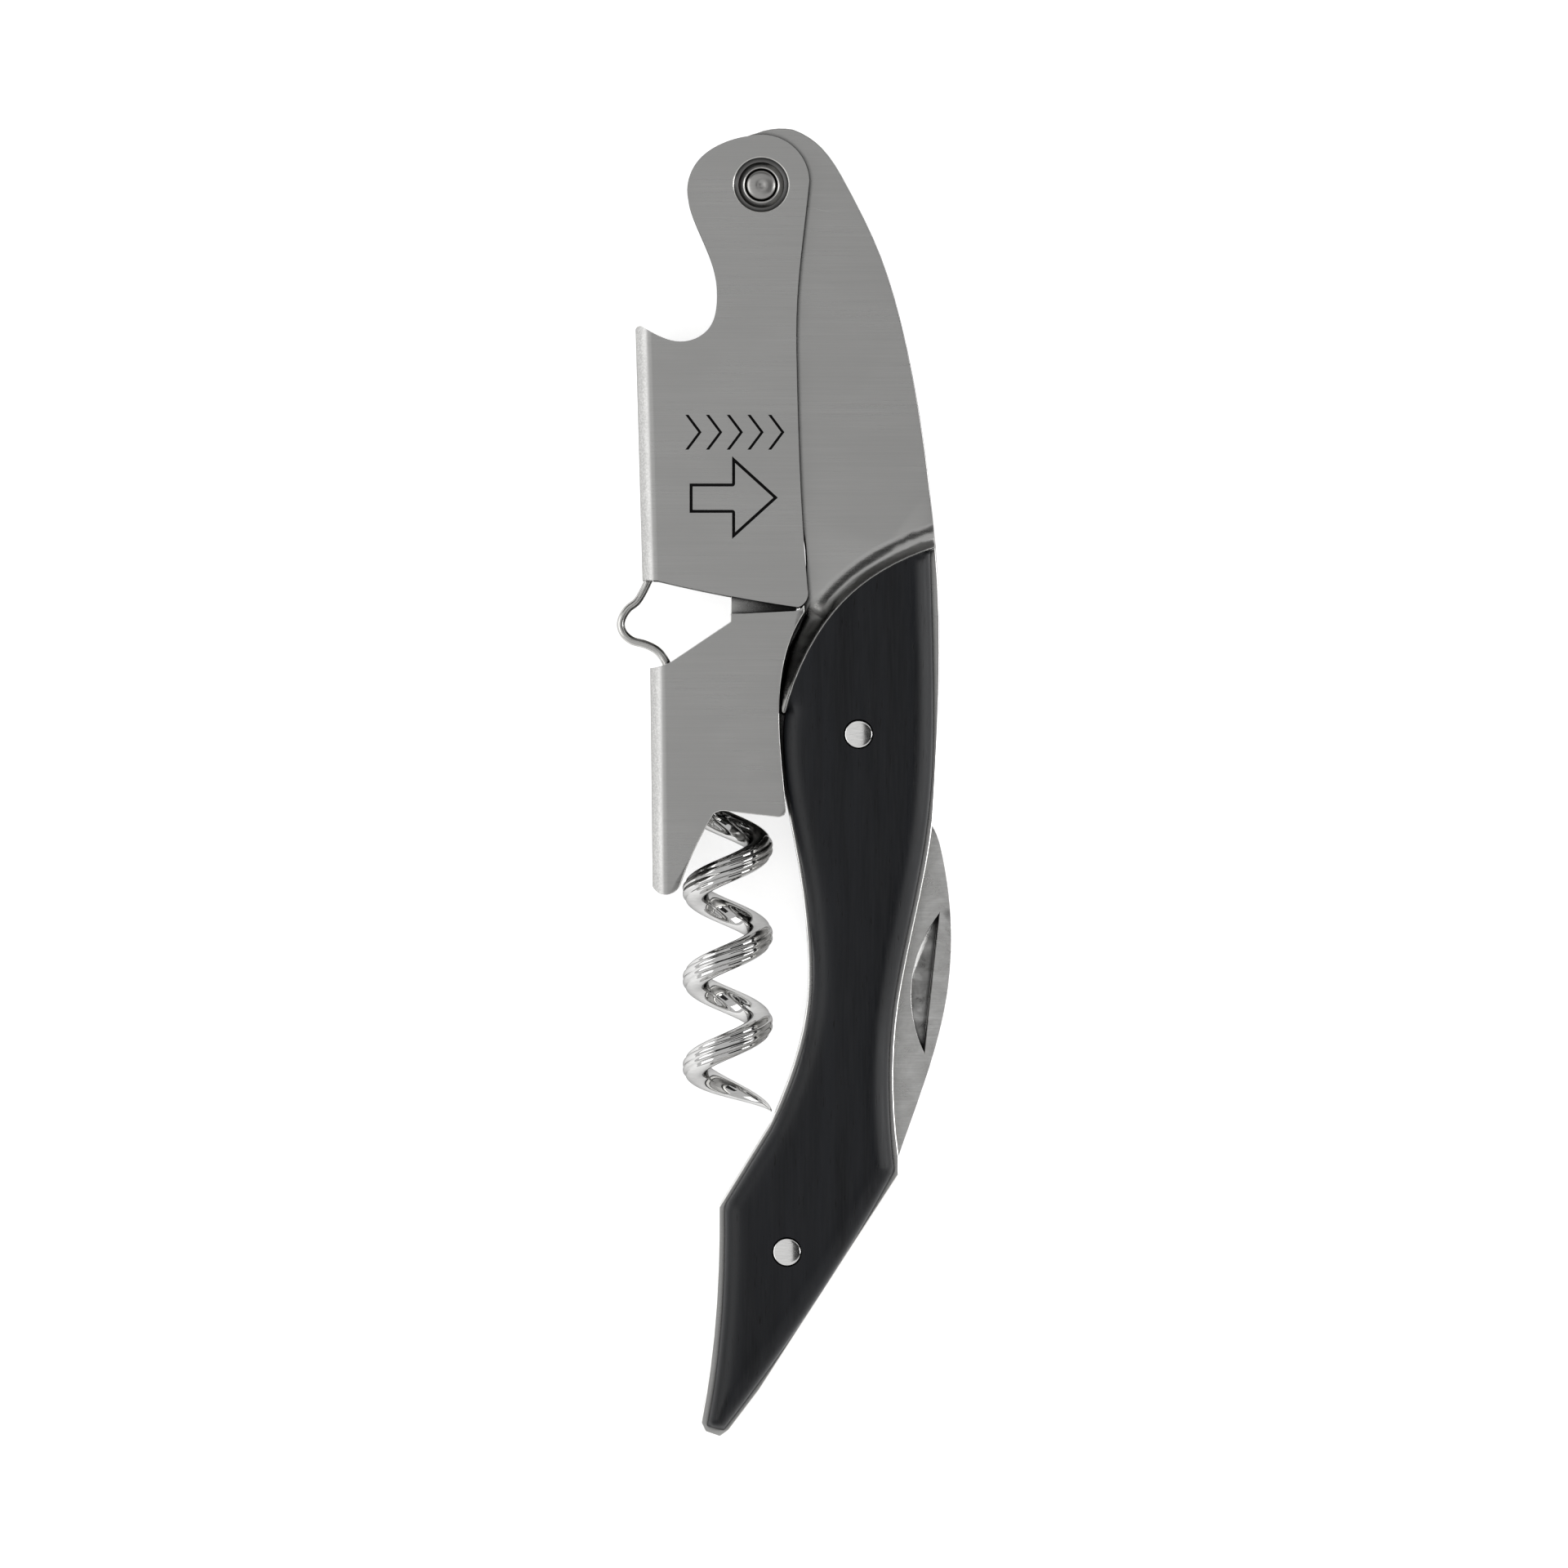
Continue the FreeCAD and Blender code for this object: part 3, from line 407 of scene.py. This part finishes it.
def black_wood(name):
    """Oiled black wood: fine pores and slow colour bands along the handle."""
    material, shader = new_material(name)
    g = Graph(material)
    bands = g.noise(g.place((0.55, 0.035, 0.3)), detail=4.0, rough=0.6, distortion=0.25)
    fibres = g.noise(g.place((5.0, 0.22, 2.0)), detail=4.0, rough=0.65)
    pores = g.noise(g.place((7.0, 0.55, 3.0)), detail=2.0, rough=0.5)
    pore_mask = g.ramp(pores, 0.66, 0.74)
    colour = g.mix(g.ramp(bands, 0.36, 0.64), (0.0050, 0.0055, 0.0068), (0.0110, 0.0120, 0.0145))
    colour = g.mix(g.ramp(fibres, 0.4, 0.7, 0.0, 0.55), colour, (0.015, 0.0155, 0.0172))
    colour = g.mix(pore_mask, colour, (0.0015, 0.0015, 0.0018))
    g.link(colour, shader.inputs["Base Color"])
    g.link(g.ramp(fibres, 0.3, 0.7, 0.32, 0.44), shader.inputs["Roughness"])
    grain = g.bump(fibres, 0.10, 0.02 * MM)
    closed_pores = g.math("SUBTRACT", 1.0, pore_mask)
    g.link(g.bump(closed_pores, 0.30, 0.03 * MM, grain), shader.inputs["Normal"])
    shader.inputs["Specular IOR Level"].default_value = 0.22
    return material


def paper_floor(name):
    """White paper on a light table."""
    material, shader = new_material(name)
    g = Graph(material)
    fibre = g.noise(g.place((0.4, 0.4, 0.4)), detail=3.0)
    colour = g.mix(fibre, (0.86, 0.86, 0.86), (0.88, 0.88, 0.88))
    g.link(colour, shader.inputs["Base Color"])
    g.link(colour, shader.inputs["Emission Color"])
    shader.inputs["Emission Strength"].default_value = 0.8
    shader.inputs["Roughness"].default_value = 0.9
    shader.inputs["Specular IOR Level"].default_value = 0.1
    return material


def dark_card(name, direction, width, height):
    """A black card that keeps light off one side, as in a studio."""
    place_at = Vector(direction) * CARD_DISTANCE
    bpy.ops.mesh.primitive_plane_add(size=1.0, location=place_at)
    card = bpy.context.object
    card.name = name
    card.scale = (width * CARD_DISTANCE, height * CARD_DISTANCE, 1)
    card.rotation_euler = place_at.to_track_quat("Z", "Y").to_euler()
    material, shader = new_material(name)
    g = Graph(material)
    weave = g.noise(g.place((0.2, 0.2, 0.2)), detail=2.0)
    g.link(g.mix(weave, (0.010, 0.010, 0.010), (0.016, 0.016, 0.016)), shader.inputs["Base Color"])
    shader.inputs["Roughness"].default_value = 0.95
    card.data.materials.append(material)


# ---------------------------------------------------------------- mesh helpers

def new_piece(name, vertices, faces, material):
    mesh = bpy.data.meshes.new(name)
    mesh.from_pydata([tuple(v) for v in vertices], [], faces)
    mesh.validate()
    mesh.update()
    for polygon in mesh.polygons:
        polygon.use_smooth = True
    mesh.materials.append(material)
    piece = bpy.data.objects.new(name, mesh)
    bpy.context.scene.collection.objects.link(piece)
    return piece


def smooth_by_angle(piece, degrees):
    """Marks edges sharper than the angle, so that smooth shading stops at them."""
    mesh = piece.data
    limit = math.radians(degrees)
    neighbours = {}
    for polygon in mesh.polygons:
        for key in polygon.edge_keys:
            neighbours.setdefault(key, []).append(polygon.normal.copy())
    for edge in mesh.edges:
        normals = neighbours.get(tuple(sorted(edge.vertices)), [])
        edge.use_edge_sharp = len(normals) == 2 and normals[0].angle(normals[1], 0.0) > limit


def lathe(name, centre, profile, side, material, sharp):
    """Turns a profile of (radius, height) about the Z axis through centre; side -1 faces down."""
    vertices = []
    faces = []
    for radius, height in profile:
        for k in range(LATHE_STEPS):
            angle = 2 * math.pi * k / LATHE_STEPS
            vertices.append((centre.x + radius * math.cos(angle), centre.y + radius * math.sin(angle),
                             MID_Z + side * height))
    for ring in range(len(profile) - 1):
        low, high = ring * LATHE_STEPS, (ring + 1) * LATHE_STEPS
        for k in range(LATHE_STEPS):
            following = (k + 1) % LATHE_STEPS
            quad = (low + k, low + following, high + following, high + k)
            faces.append(quad if side > 0 else quad[::-1])
    last = (len(profile) - 1) * LATHE_STEPS
    cap_low = tuple(range(LATHE_STEPS))
    cap_high = tuple(range(last, last + LATHE_STEPS))
    faces.append(cap_low[::-1] if side > 0 else cap_low)
    faces.append(cap_high if side > 0 else cap_high[::-1])
    piece = new_piece(name, vertices, faces, material)
    smooth_by_angle(piece, sharp)
    return piece


def sweep(name, centres, outward, radii, section, material):
    """Sweeps a section round a line.  outward gives the direction that section angle 0 faces, and
    section(angle) gives the radius there as a share of the wire's own."""
    count = len(centres)
    angles = section_angles()
    around = len(angles)
    vertices = []
    for i, centre in enumerate(centres):
        tangent = (centres[min(i + 1, count - 1)] - centres[max(i - 1, 0)]).normalized()
        out = (outward[i] - tangent * outward[i].dot(tangent)).normalized()
        across = tangent.cross(out)
        for angle in angles:
            reach = radii[i] * section(angle)
            vertices.append(centre + (out * math.cos(angle) + across * math.sin(angle)) * reach)
    faces = []
    for i in range(count - 1):
        for k in range(around):
            following = (k + 1) % around
            faces.append((i * around + k, i * around + following, (i + 1) * around + following,
                          (i + 1) * around + k))
    faces.append(tuple(range(around))[::-1])
    faces.append(tuple(range((count - 1) * around, count * around)))
    return new_piece(name, vertices, faces, material)


def section_angles():
    """Angles round a wire's section, closer together over the flutes."""
    fine = [middle + FLUTE_WIDTH * k * 0.4 for middle in FLUTES for k in range(-5, 6)]
    coarse = [2 * math.pi * k / 40 for k in range(-20, 20)]
    clear = [angle for angle in coarse if min(abs(angle - other) for other in fine) > 0.06]
    return sorted(fine + clear)


def spline_points(control, samples):
    """Points of a smooth line through the control points (Catmull-Rom)."""
    points = [Vector(p) for p in control]
    points = [2 * points[0] - points[1]] + points + [2 * points[-1] - points[-2]]
    made = []
    for i in range(1, len(points) - 2):
        a, b, c, d = points[i - 1:i + 3]
        for k in range(samples):
            u = k / samples
            made.append(0.5 * ((2 * b) + (c - a) * u + (2 * a - 5 * b + 4 * c - d) * u * u
                               + (3 * b - a - 3 * c + d) * u ** 3))
    made.append(points[-2])
    return made


# ---------------------------------------------------------------- scales

def boundary_loops(node, level):
    """The closed outlines of a CAD node's flat face at a height, longest first."""
    mesh = NODES[node].data
    points = {}
    for vertex in mesh.vertices:
        if abs(vertex.co.z - level) < 0.02 * MM:
            points[vertex.index] = (round(vertex.co.x, 7), round(vertex.co.y, 7))
    counts = {}
    for polygon in mesh.polygons:
        if all(index in points for index in polygon.vertices):
            for a, b in polygon.edge_keys:
                key = tuple(sorted((points[a], points[b])))
                counts[key] = counts.get(key, 0) + 1
    links = {}
    for (a, b), count in counts.items():
        if count == 1:
            links.setdefault(a, []).append(b)
            links.setdefault(b, []).append(a)
    loops = []
    unused = set(links)
    while unused:
        start = unused.pop()
        loop = [start]
        here, before = links[start][0], start
        while here != start:
            loop.append(here)
            unused.discard(here)
            following = [p for p in links[here] if p != before]
            before, here = here, (following[0] if following else start)
        loops.append([Vector(p) for p in loop])
    loops.sort(key=lambda loop: -sum((a - b).length for a, b in zip(loop, loop[1:] + loop[:1])))
    return loops


def signed_area(loop):
    return sum(a.x * b.y - b.x * a.y for a, b in zip(loop, loop[1:] + loop[:1])) / 2


def even_points(loop, spacing):
    """Points along a closed outline, with its corners kept."""
    made = []
    for a, b in zip(loop, loop[1:] + loop[:1]):
        pieces = max(1, round((b - a).length / spacing))
        made += [a.lerp(b, k / pieces) for k in range(pieces)]
    return made


def nearest(point, segments):
    """Distance from a point to the nearest of some segments."""
    best = 1.0
    for a, span, length2 in segments:
        share = max(0.0, min(1.0, (point - a).dot(span) / length2)) if length2 else 0.0
        best = min(best, (point - a - span * share).length)
    return best


def as_segments(pairs):
    """Pairs of ends in the form that nearest() takes."""
    return [(a, b - a, (b - a).length_squared) for a, b in pairs]


def within(point, loop):
    """Whether a point lies inside a closed outline."""
    crossings = False
    for a, b in zip(loop, loop[1:] + loop[:1]):
        if (a.y > point.y) != (b.y > point.y):
            if point.x < a.x + (point.y - a.y) * (b.x - a.x) / (b.y - a.y):
                crossings = not crossings
    return crossings


def beside_bolster(point):
    """Whether a point of the scale's rim lies where it meets the bolster."""
    return point.y > BOLSTER_CORNER.y and point.x < BOLSTER_CORNER.x


def inset_points(rim, segments):
    """Rows of points along the inside of the rim, dense where the wood falls away."""
    made = []
    for inset in RIM_INSETS_MM:
        step = inset * MM
        for before, here, after in zip(rim[-1:] + rim[:-1], rim, rim[1:] + rim[:1]):
            along = (after - before).normalized()
            point = here + Vector((-along.y, along.x)) * step
            if nearest(point, segments) > step * 0.97:
                made.append(point)
    return made


def grid_points(low, high, rim, segments):
    """A grid of points over the flat middle of the scale."""
    made = []
    for i in range(int((high.x - low.x) / GRID_SPACING) + 1):
        for j in range(int((high.y - low.y) / GRID_SPACING) + 1):
            point = Vector((low.x + i * GRID_SPACING, low.y + j * GRID_SPACING))
            if within(point, rim) and nearest(point, segments) > GRID_CLEARANCE:
                made.append(point)
    return made


def make_scale(name, node, side, material):
    """A crowned wood scale.  Its outline is the CAD scale's; its free edges fall away in a broad
    round, and it stays flush where it meets the bolster."""
    low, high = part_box(node)
    base_z = low.z if side > 0 else high.z
    thickness = high.z - low.z
    loop = boundary_loops(node, base_z)[0]
    if signed_area(loop) < 0:
        loop.reverse()
    rim = even_points(loop, RIM_SPACING)
    sides = list(zip(rim, rim[1:] + rim[:1]))
    free_segments = as_segments([(a, b) for a, b in sides if not beside_bolster((a + b) / 2)])
    all_segments = as_segments(sides)
    inside = inset_points(rim, all_segments) + grid_points(low, high, rim, all_segments)
    radius = pin_radius() + PIN_HOLE_GAP
    holes = []
    for centre in (pin_centre("upper_scale_pin"), pin_centre("knife_pin")):
        holes.append([centre + Vector((math.cos(a), math.sin(a))) * radius
                      for a in (2 * math.pi * k / 48 for k in range(48))])
        inside = [p for p in inside if (p - centre).length > radius + PIN_HOLE_CLEARANCE]
    points, triangles = triangulated(rim, holes, inside)

    def top(point):
        reach = nearest(Vector(point), free_segments)
        if reach >= SCALE_CROWN:
            return thickness
        return thickness - SCALE_DROP * (1 - math.sqrt(1 - (1 - reach / SCALE_CROWN) ** 2))

    count = len(points)
    vertices = [(p[0], p[1], base_z + side * top(p)) for p in points]
    vertices += [(p[0], p[1], base_z) for p in points]
    faces = [t if side > 0 else t[::-1] for t in triangles]
    faces += [tuple(k + count for k in (t[::-1] if side > 0 else t)) for t in triangles]
    directed = dict.fromkeys(pair for t in triangles for pair in zip(t, t[1:] + t[:1]))
    for a, b in directed:
        if (b, a) not in directed:
            wall = (a, a + count, b + count, b)
            faces.append(wall if side > 0 else wall[::-1])
    piece = new_piece(name, vertices, faces, material)
    smooth_by_angle(piece, 38)
    return piece


def triangulated(rim, holes, inside):
    """Points and triangles that fill the rim, with the inside points used and the holes left open."""
    flat = []
    edges = []
    for ring in (rim, *holes):
        start = len(flat)
        flat += ring
        edges += [(start + k, start + (k + 1) % len(ring)) for k in range(len(ring))]
    flat += inside
    points, _, triangles, *_ = delaunay_2d_cdt([tuple(p) for p in flat], edges, [], 0, 1e-9)
    kept = []
    for triangle in triangles:
        middle = sum((Vector(points[k]) for k in triangle), Vector((0, 0))) / 3
        if within(middle, rim) and not any(within(middle, ring) for ring in holes):
            kept.append(tuple(triangle))
    return points, kept


def pin_radius():
    low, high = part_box("upper_scale_pin")
    return (high.x - low.x) / 2


def pin_centre(node):
    low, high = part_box(node)
    return Vector(((low.x + high.x) / 2, (low.y + high.y) / 2))


def make_scale_pin(name, node, material):
    """A polished pin, very slightly domed at both ends, with a softened rim."""
    low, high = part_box(node)
    radius = pin_radius()
    shoulder = (high.z - low.z) / 2 - PIN_DOME - PIN_RIM
    profile = [(radius, 0.0), (radius, shoulder)]
    for k in range(1, 5):
        angle = math.pi / 2 * k / 4
        profile.append((radius - PIN_RIM * (1 - math.cos(angle)), shoulder + PIN_RIM * math.sin(angle)))
    for k in range(1, 7):
        share = 1 - k / 6
        profile.append(((radius - PIN_RIM) * share + 0.01 * MM,
                        (high.z - low.z) / 2 - PIN_DOME * share ** 2))
    return [lathe(f"{name}_{word}", pin_centre(node), profile, side, material, sharp=60)
            for word, side in (("front", 1), ("rear", -1))]


# ---------------------------------------------------------------- pieces

def coil_point(turn, axis_x, tip_y):
    """Centre of the worm's wire and its outward direction, some turns up from the point."""
    drawn_in = max(0.0, turn - COIL_TURNS + 1)
    spread = COIL_RADIUS + POINT_FLARE * max(0.0, 1 - turn / COIL_TAPER) ** 2
    spread -= (COIL_RADIUS - COIL_TOP_RADIUS) * drawn_in ** 2 * (3 - 2 * drawn_in)
    angle = -2 * math.pi * turn
    out = Vector((math.cos(angle), 0, math.sin(angle)))
    return Vector((axis_x, tip_y + COIL_PITCH * turn, MID_Z)) + out * spread, out


def flute_depth(angle):
    """The wire's radius as a share: fine grooves run along its outer face."""
    depth = 0.0
    for middle in FLUTES:
        away = (angle - middle + math.pi) % (2 * math.pi) - math.pi
        depth = max(depth, FLUTE_DEPTH * math.exp(-(away / FLUTE_WIDTH) ** 2))
    return 1 - depth


def make_worm(material):
    """The fluted wire: ground point, helix, shank and eye, along one line."""
    axis_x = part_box("worm")[0].x + COIL_RADIUS + WIRE
    eye_centre = joint_at("worm_fold")
    tip_y = eye_centre.y - TIP_BELOW_EYE
    centres, outward, radii = [], [], []
    steps = int(COIL_TURNS * STEPS_PER_TURN)
    for k in range(steps + 1):
        turn = COIL_TURNS * k / steps
        centre, out = coil_point(turn, axis_x, tip_y)
        centres.append(centre)
        outward.append(out)
        grown = math.sin(math.pi / 2 * min(1.0, turn / COIL_TAPER))
        radii.append(WIRE * (POINT_SHARE + (1 - POINT_SHARE) * grown))
    first, last = EYE_ANGLES
    eye = []
    for k in range(EYE_STEPS + 1):
        angle = math.radians(first + (last - first) * k / EYE_STEPS)
        eye.append(Vector((eye_centre.x, eye_centre.y, MID_Z))
                   + Vector((math.cos(angle), math.sin(angle), 0)) * EYE_RADIUS)
    shank = [Vector((x * MM, y * MM, MID_Z + z * MM)) for x, y, z in SHANK_MM]
    for point in spline_points([centres[-1], *shank, eye[0]], 10)[1:] + eye[1:]:
        centres.append(point)
        outward.append(Vector((0, 0.3, 1)))
        radii.append(WIRE)
    return sweep("fluted_worm", centres, outward, radii, flute_depth, material)


def make_step_spring(material):
    """The drawn wire of the step spring, bowed out across the gap between lever and foot."""
    centres = spline_points([(x * MM, y * MM, MID_Z) for x, y in SPRING_LINE_MM], 8)
    outward = [Vector((0, 0, 1))] * len(centres)
    radii = [SPRING_RADIUS] * len(centres)
    radii[0] = radii[-1] = SPRING_END_RADIUS
    return sweep("bowed_step_spring", centres, outward, radii, lambda angle: 1.0, material)


def lathe_at_pivot(name, profile_mm, side, material):
    profile = [(radius * MM, height * MM) for radius, height in profile_mm]
    return lathe(name, joint_at("lever_swing"), profile, side, material, sharp=50)


def make_bush(name, side, material):
    """One end of the lever pivot: a dished bush with a rolled rim round the domed pin."""
    return lathe_at_pivot(name, BUSH_PROFILE_MM, side, material)


def make_lever_pin(material):
    """Domed ends with a shallow dimple, on the pin that the lever turns on."""
    return [lathe_at_pivot(f"lever_pin_{word}", PIN_PROFILE_MM, side, material)
            for word, side in (("front_end", 1), ("rear_end", -1))]


# ---------------------------------------------------------------- assembly

brushed = brushed_steel("brushed_bolster_steel", rim=True)
link_steel = brushed_steel("brushed_link_steel")
lever_steel = brushed_steel("brushed_lever_steel", bend_x=LEVER_BEND_X, mark_floor_heights=MARKS_Z)
foot_steel = brushed_steel("brushed_foot_steel", bend_x=FOOT_BEND_X)
spacer_steel = brushed_steel("satin_spacer_steel", tone=(0.50, 0.495, 0.485), rough=0.36)
bright = polished_steel("polished_pin_steel")
satin_pin = polished_steel("satin_lever_pin_steel", tone=(0.40, 0.395, 0.385), rough=0.30)
dark_bush = polished_steel("turned_bush_steel", tone=(0.60, 0.595, 0.58), rough=0.34)
chrome = polished_steel("chromed_worm", tone=(0.62, 0.617, 0.61), rough=0.05, scuffs=0.03)
drawn = polished_steel("drawn_spring_wire", tone=(0.55, 0.545, 0.53), rough=0.22)
wood = black_wood("oiled_black_wood")
blade = mottled_blade("mottled_blade_steel")

FINISHES = {
    "front_liner": brushed, "rear_liner": brushed,
    "bolster_spacer": spacer_steel, "knife_spring": spacer_steel, "tail_spacer": spacer_steel,
    "front_scale": wood, "rear_scale": wood,
    "upper_scale_pin": bright, "upper_spacer_tube": bright, "frame_pins": bright,
    "worm_pin": bright, "worm_washers": bright, "lever_pin": satin_pin,
    "knife_pin": bright, "knife_washers": bright,
    "upper_lever": lever_steel, "lever_bush_front": dark_bush, "lever_bush_rear": dark_bush,
    "link_pin": link_steel, "step_spring": drawn,
    "lower_lever": foot_steel, "link_sleeve": bright,
    "worm": chrome, "knife_blade": blade,
}
# Width in mm of the eased edge of each cut piece.
EASED = {"front_liner": 0.14, "rear_liner": 0.14, "lower_lever": 0.07, "knife_blade": 0.05}


def finish_cad_nodes():
    """Every CAD node gets its finish, and those in EASED a slightly eased edge."""
    for name, material in FINISHES.items():
        node = NODES[name]
        node.data.materials.clear()
        node.data.materials.append(material)
        if name in EASED:
            joined = node.modifiers.new("joined_faces", "WELD")
            joined.merge_threshold = 0.001 * MM
            eased = node.modifiers.new("eased_edges", "BEVEL")
            eased.width = EASED[name] * MM
            eased.segments = 3
            eased.use_clamp_overlap = False
            eased.limit_method = "ANGLE"
            eased.angle_limit = math.radians(30)
            node.modifiers.new("flat_faces_stay_flat", "WEIGHTED_NORMAL")


def place(piece, body, slot, *nodes):
    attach(piece, body)
    if nodes:
        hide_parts(*nodes)


def make_object():
    finish_cad_nodes()
    place(make_worm(chrome), "worm", "worm_steel", "worm")
    for node, side in (("front_scale", 1), ("rear_scale", -1)):
        place(make_scale("crowned_" + node, node, side, wood), "handle", "black_wood", node)
    for node in ("upper_scale_pin", "knife_pin"):
        for piece in make_scale_pin("domed_" + node, node, bright):
            place(piece, "handle", "polished_steel", node)
    for piece in make_lever_pin(satin_pin):
        place(piece, "handle", "polished_steel", "lever_pin")
    for word, side in (("front", 1), ("rear", -1)):
        bush = make_bush("dished_bush_" + word, side, dark_bush)
        place(bush, "lever", "polished_steel", "lever_bush_" + word)
    spring = make_step_spring(drawn)
    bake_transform(spring)
    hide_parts("step_spring")


# ---------------------------------------------------------------- studio

def area_light(name, place_at, width, height, power):
    """A softbox that faces the origin."""
    light = bpy.data.lights.new(name, "AREA")
    light.shape = "RECTANGLE"
    light.size = width
    light.size_y = height
    light.energy = power
    lamp = bpy.data.objects.new(name, light)
    lamp.location = place_at
    lamp.rotation_euler = (-Vector(place_at)).to_track_quat("-Z", "Y").to_euler()
    bpy.context.scene.collection.objects.link(lamp)


def make_studio():
    scene = bpy.context.scene
    scene.view_settings.view_transform = "Standard"
    bpy.ops.mesh.primitive_plane_add(size=6.0, location=(0, 0, -0.0002))
    floor = bpy.context.object
    floor.name = "paper_floor"
    floor.data.materials.append(paper_floor("pale_paper"))

    world = bpy.data.worlds.new("soft_room")
    world.use_nodes = True
    background = world.node_tree.nodes["Background"]
    background.inputs["Color"].default_value = (0.72, 0.72, 0.72, 1.0)
    background.inputs["Strength"].default_value = 1.0
    scene.world = world

    area_light("left_softbox", (-0.78, -0.05, 0.52), 0.9, 0.6, 2.6)
    area_light("right_softbox", (0.95, 0.0, 0.30), 0.36, 1.2, 6.0)
    dark_card("right_card", (0.62, 0.0, 0.62), 0.5, 1.5)
    dark_card("upper_card", (0.1, 0.72, 0.62), 1.2, 0.42)
    dark_card("upper_left_card", (-0.62, 0.66, 0.5), 0.6, 0.5)

    camera_data = bpy.data.cameras.new("front_camera")
    camera_data.sensor_width = SENSOR_WIDTH
    camera_data.lens = SENSOR_WIDTH * CAMERA_DISTANCE / FRAME_WIDTH
    camera_data.clip_start = 0.01
    camera = bpy.data.objects.new("front_camera", camera_data)
    camera.location = CAMERA_AIM + Vector((0, 0, CAMERA_DISTANCE))
    camera.rotation_euler = (0, 0, 0)
    scene.collection.objects.link(camera)
    scene.camera = camera


make_studio()
make_object()
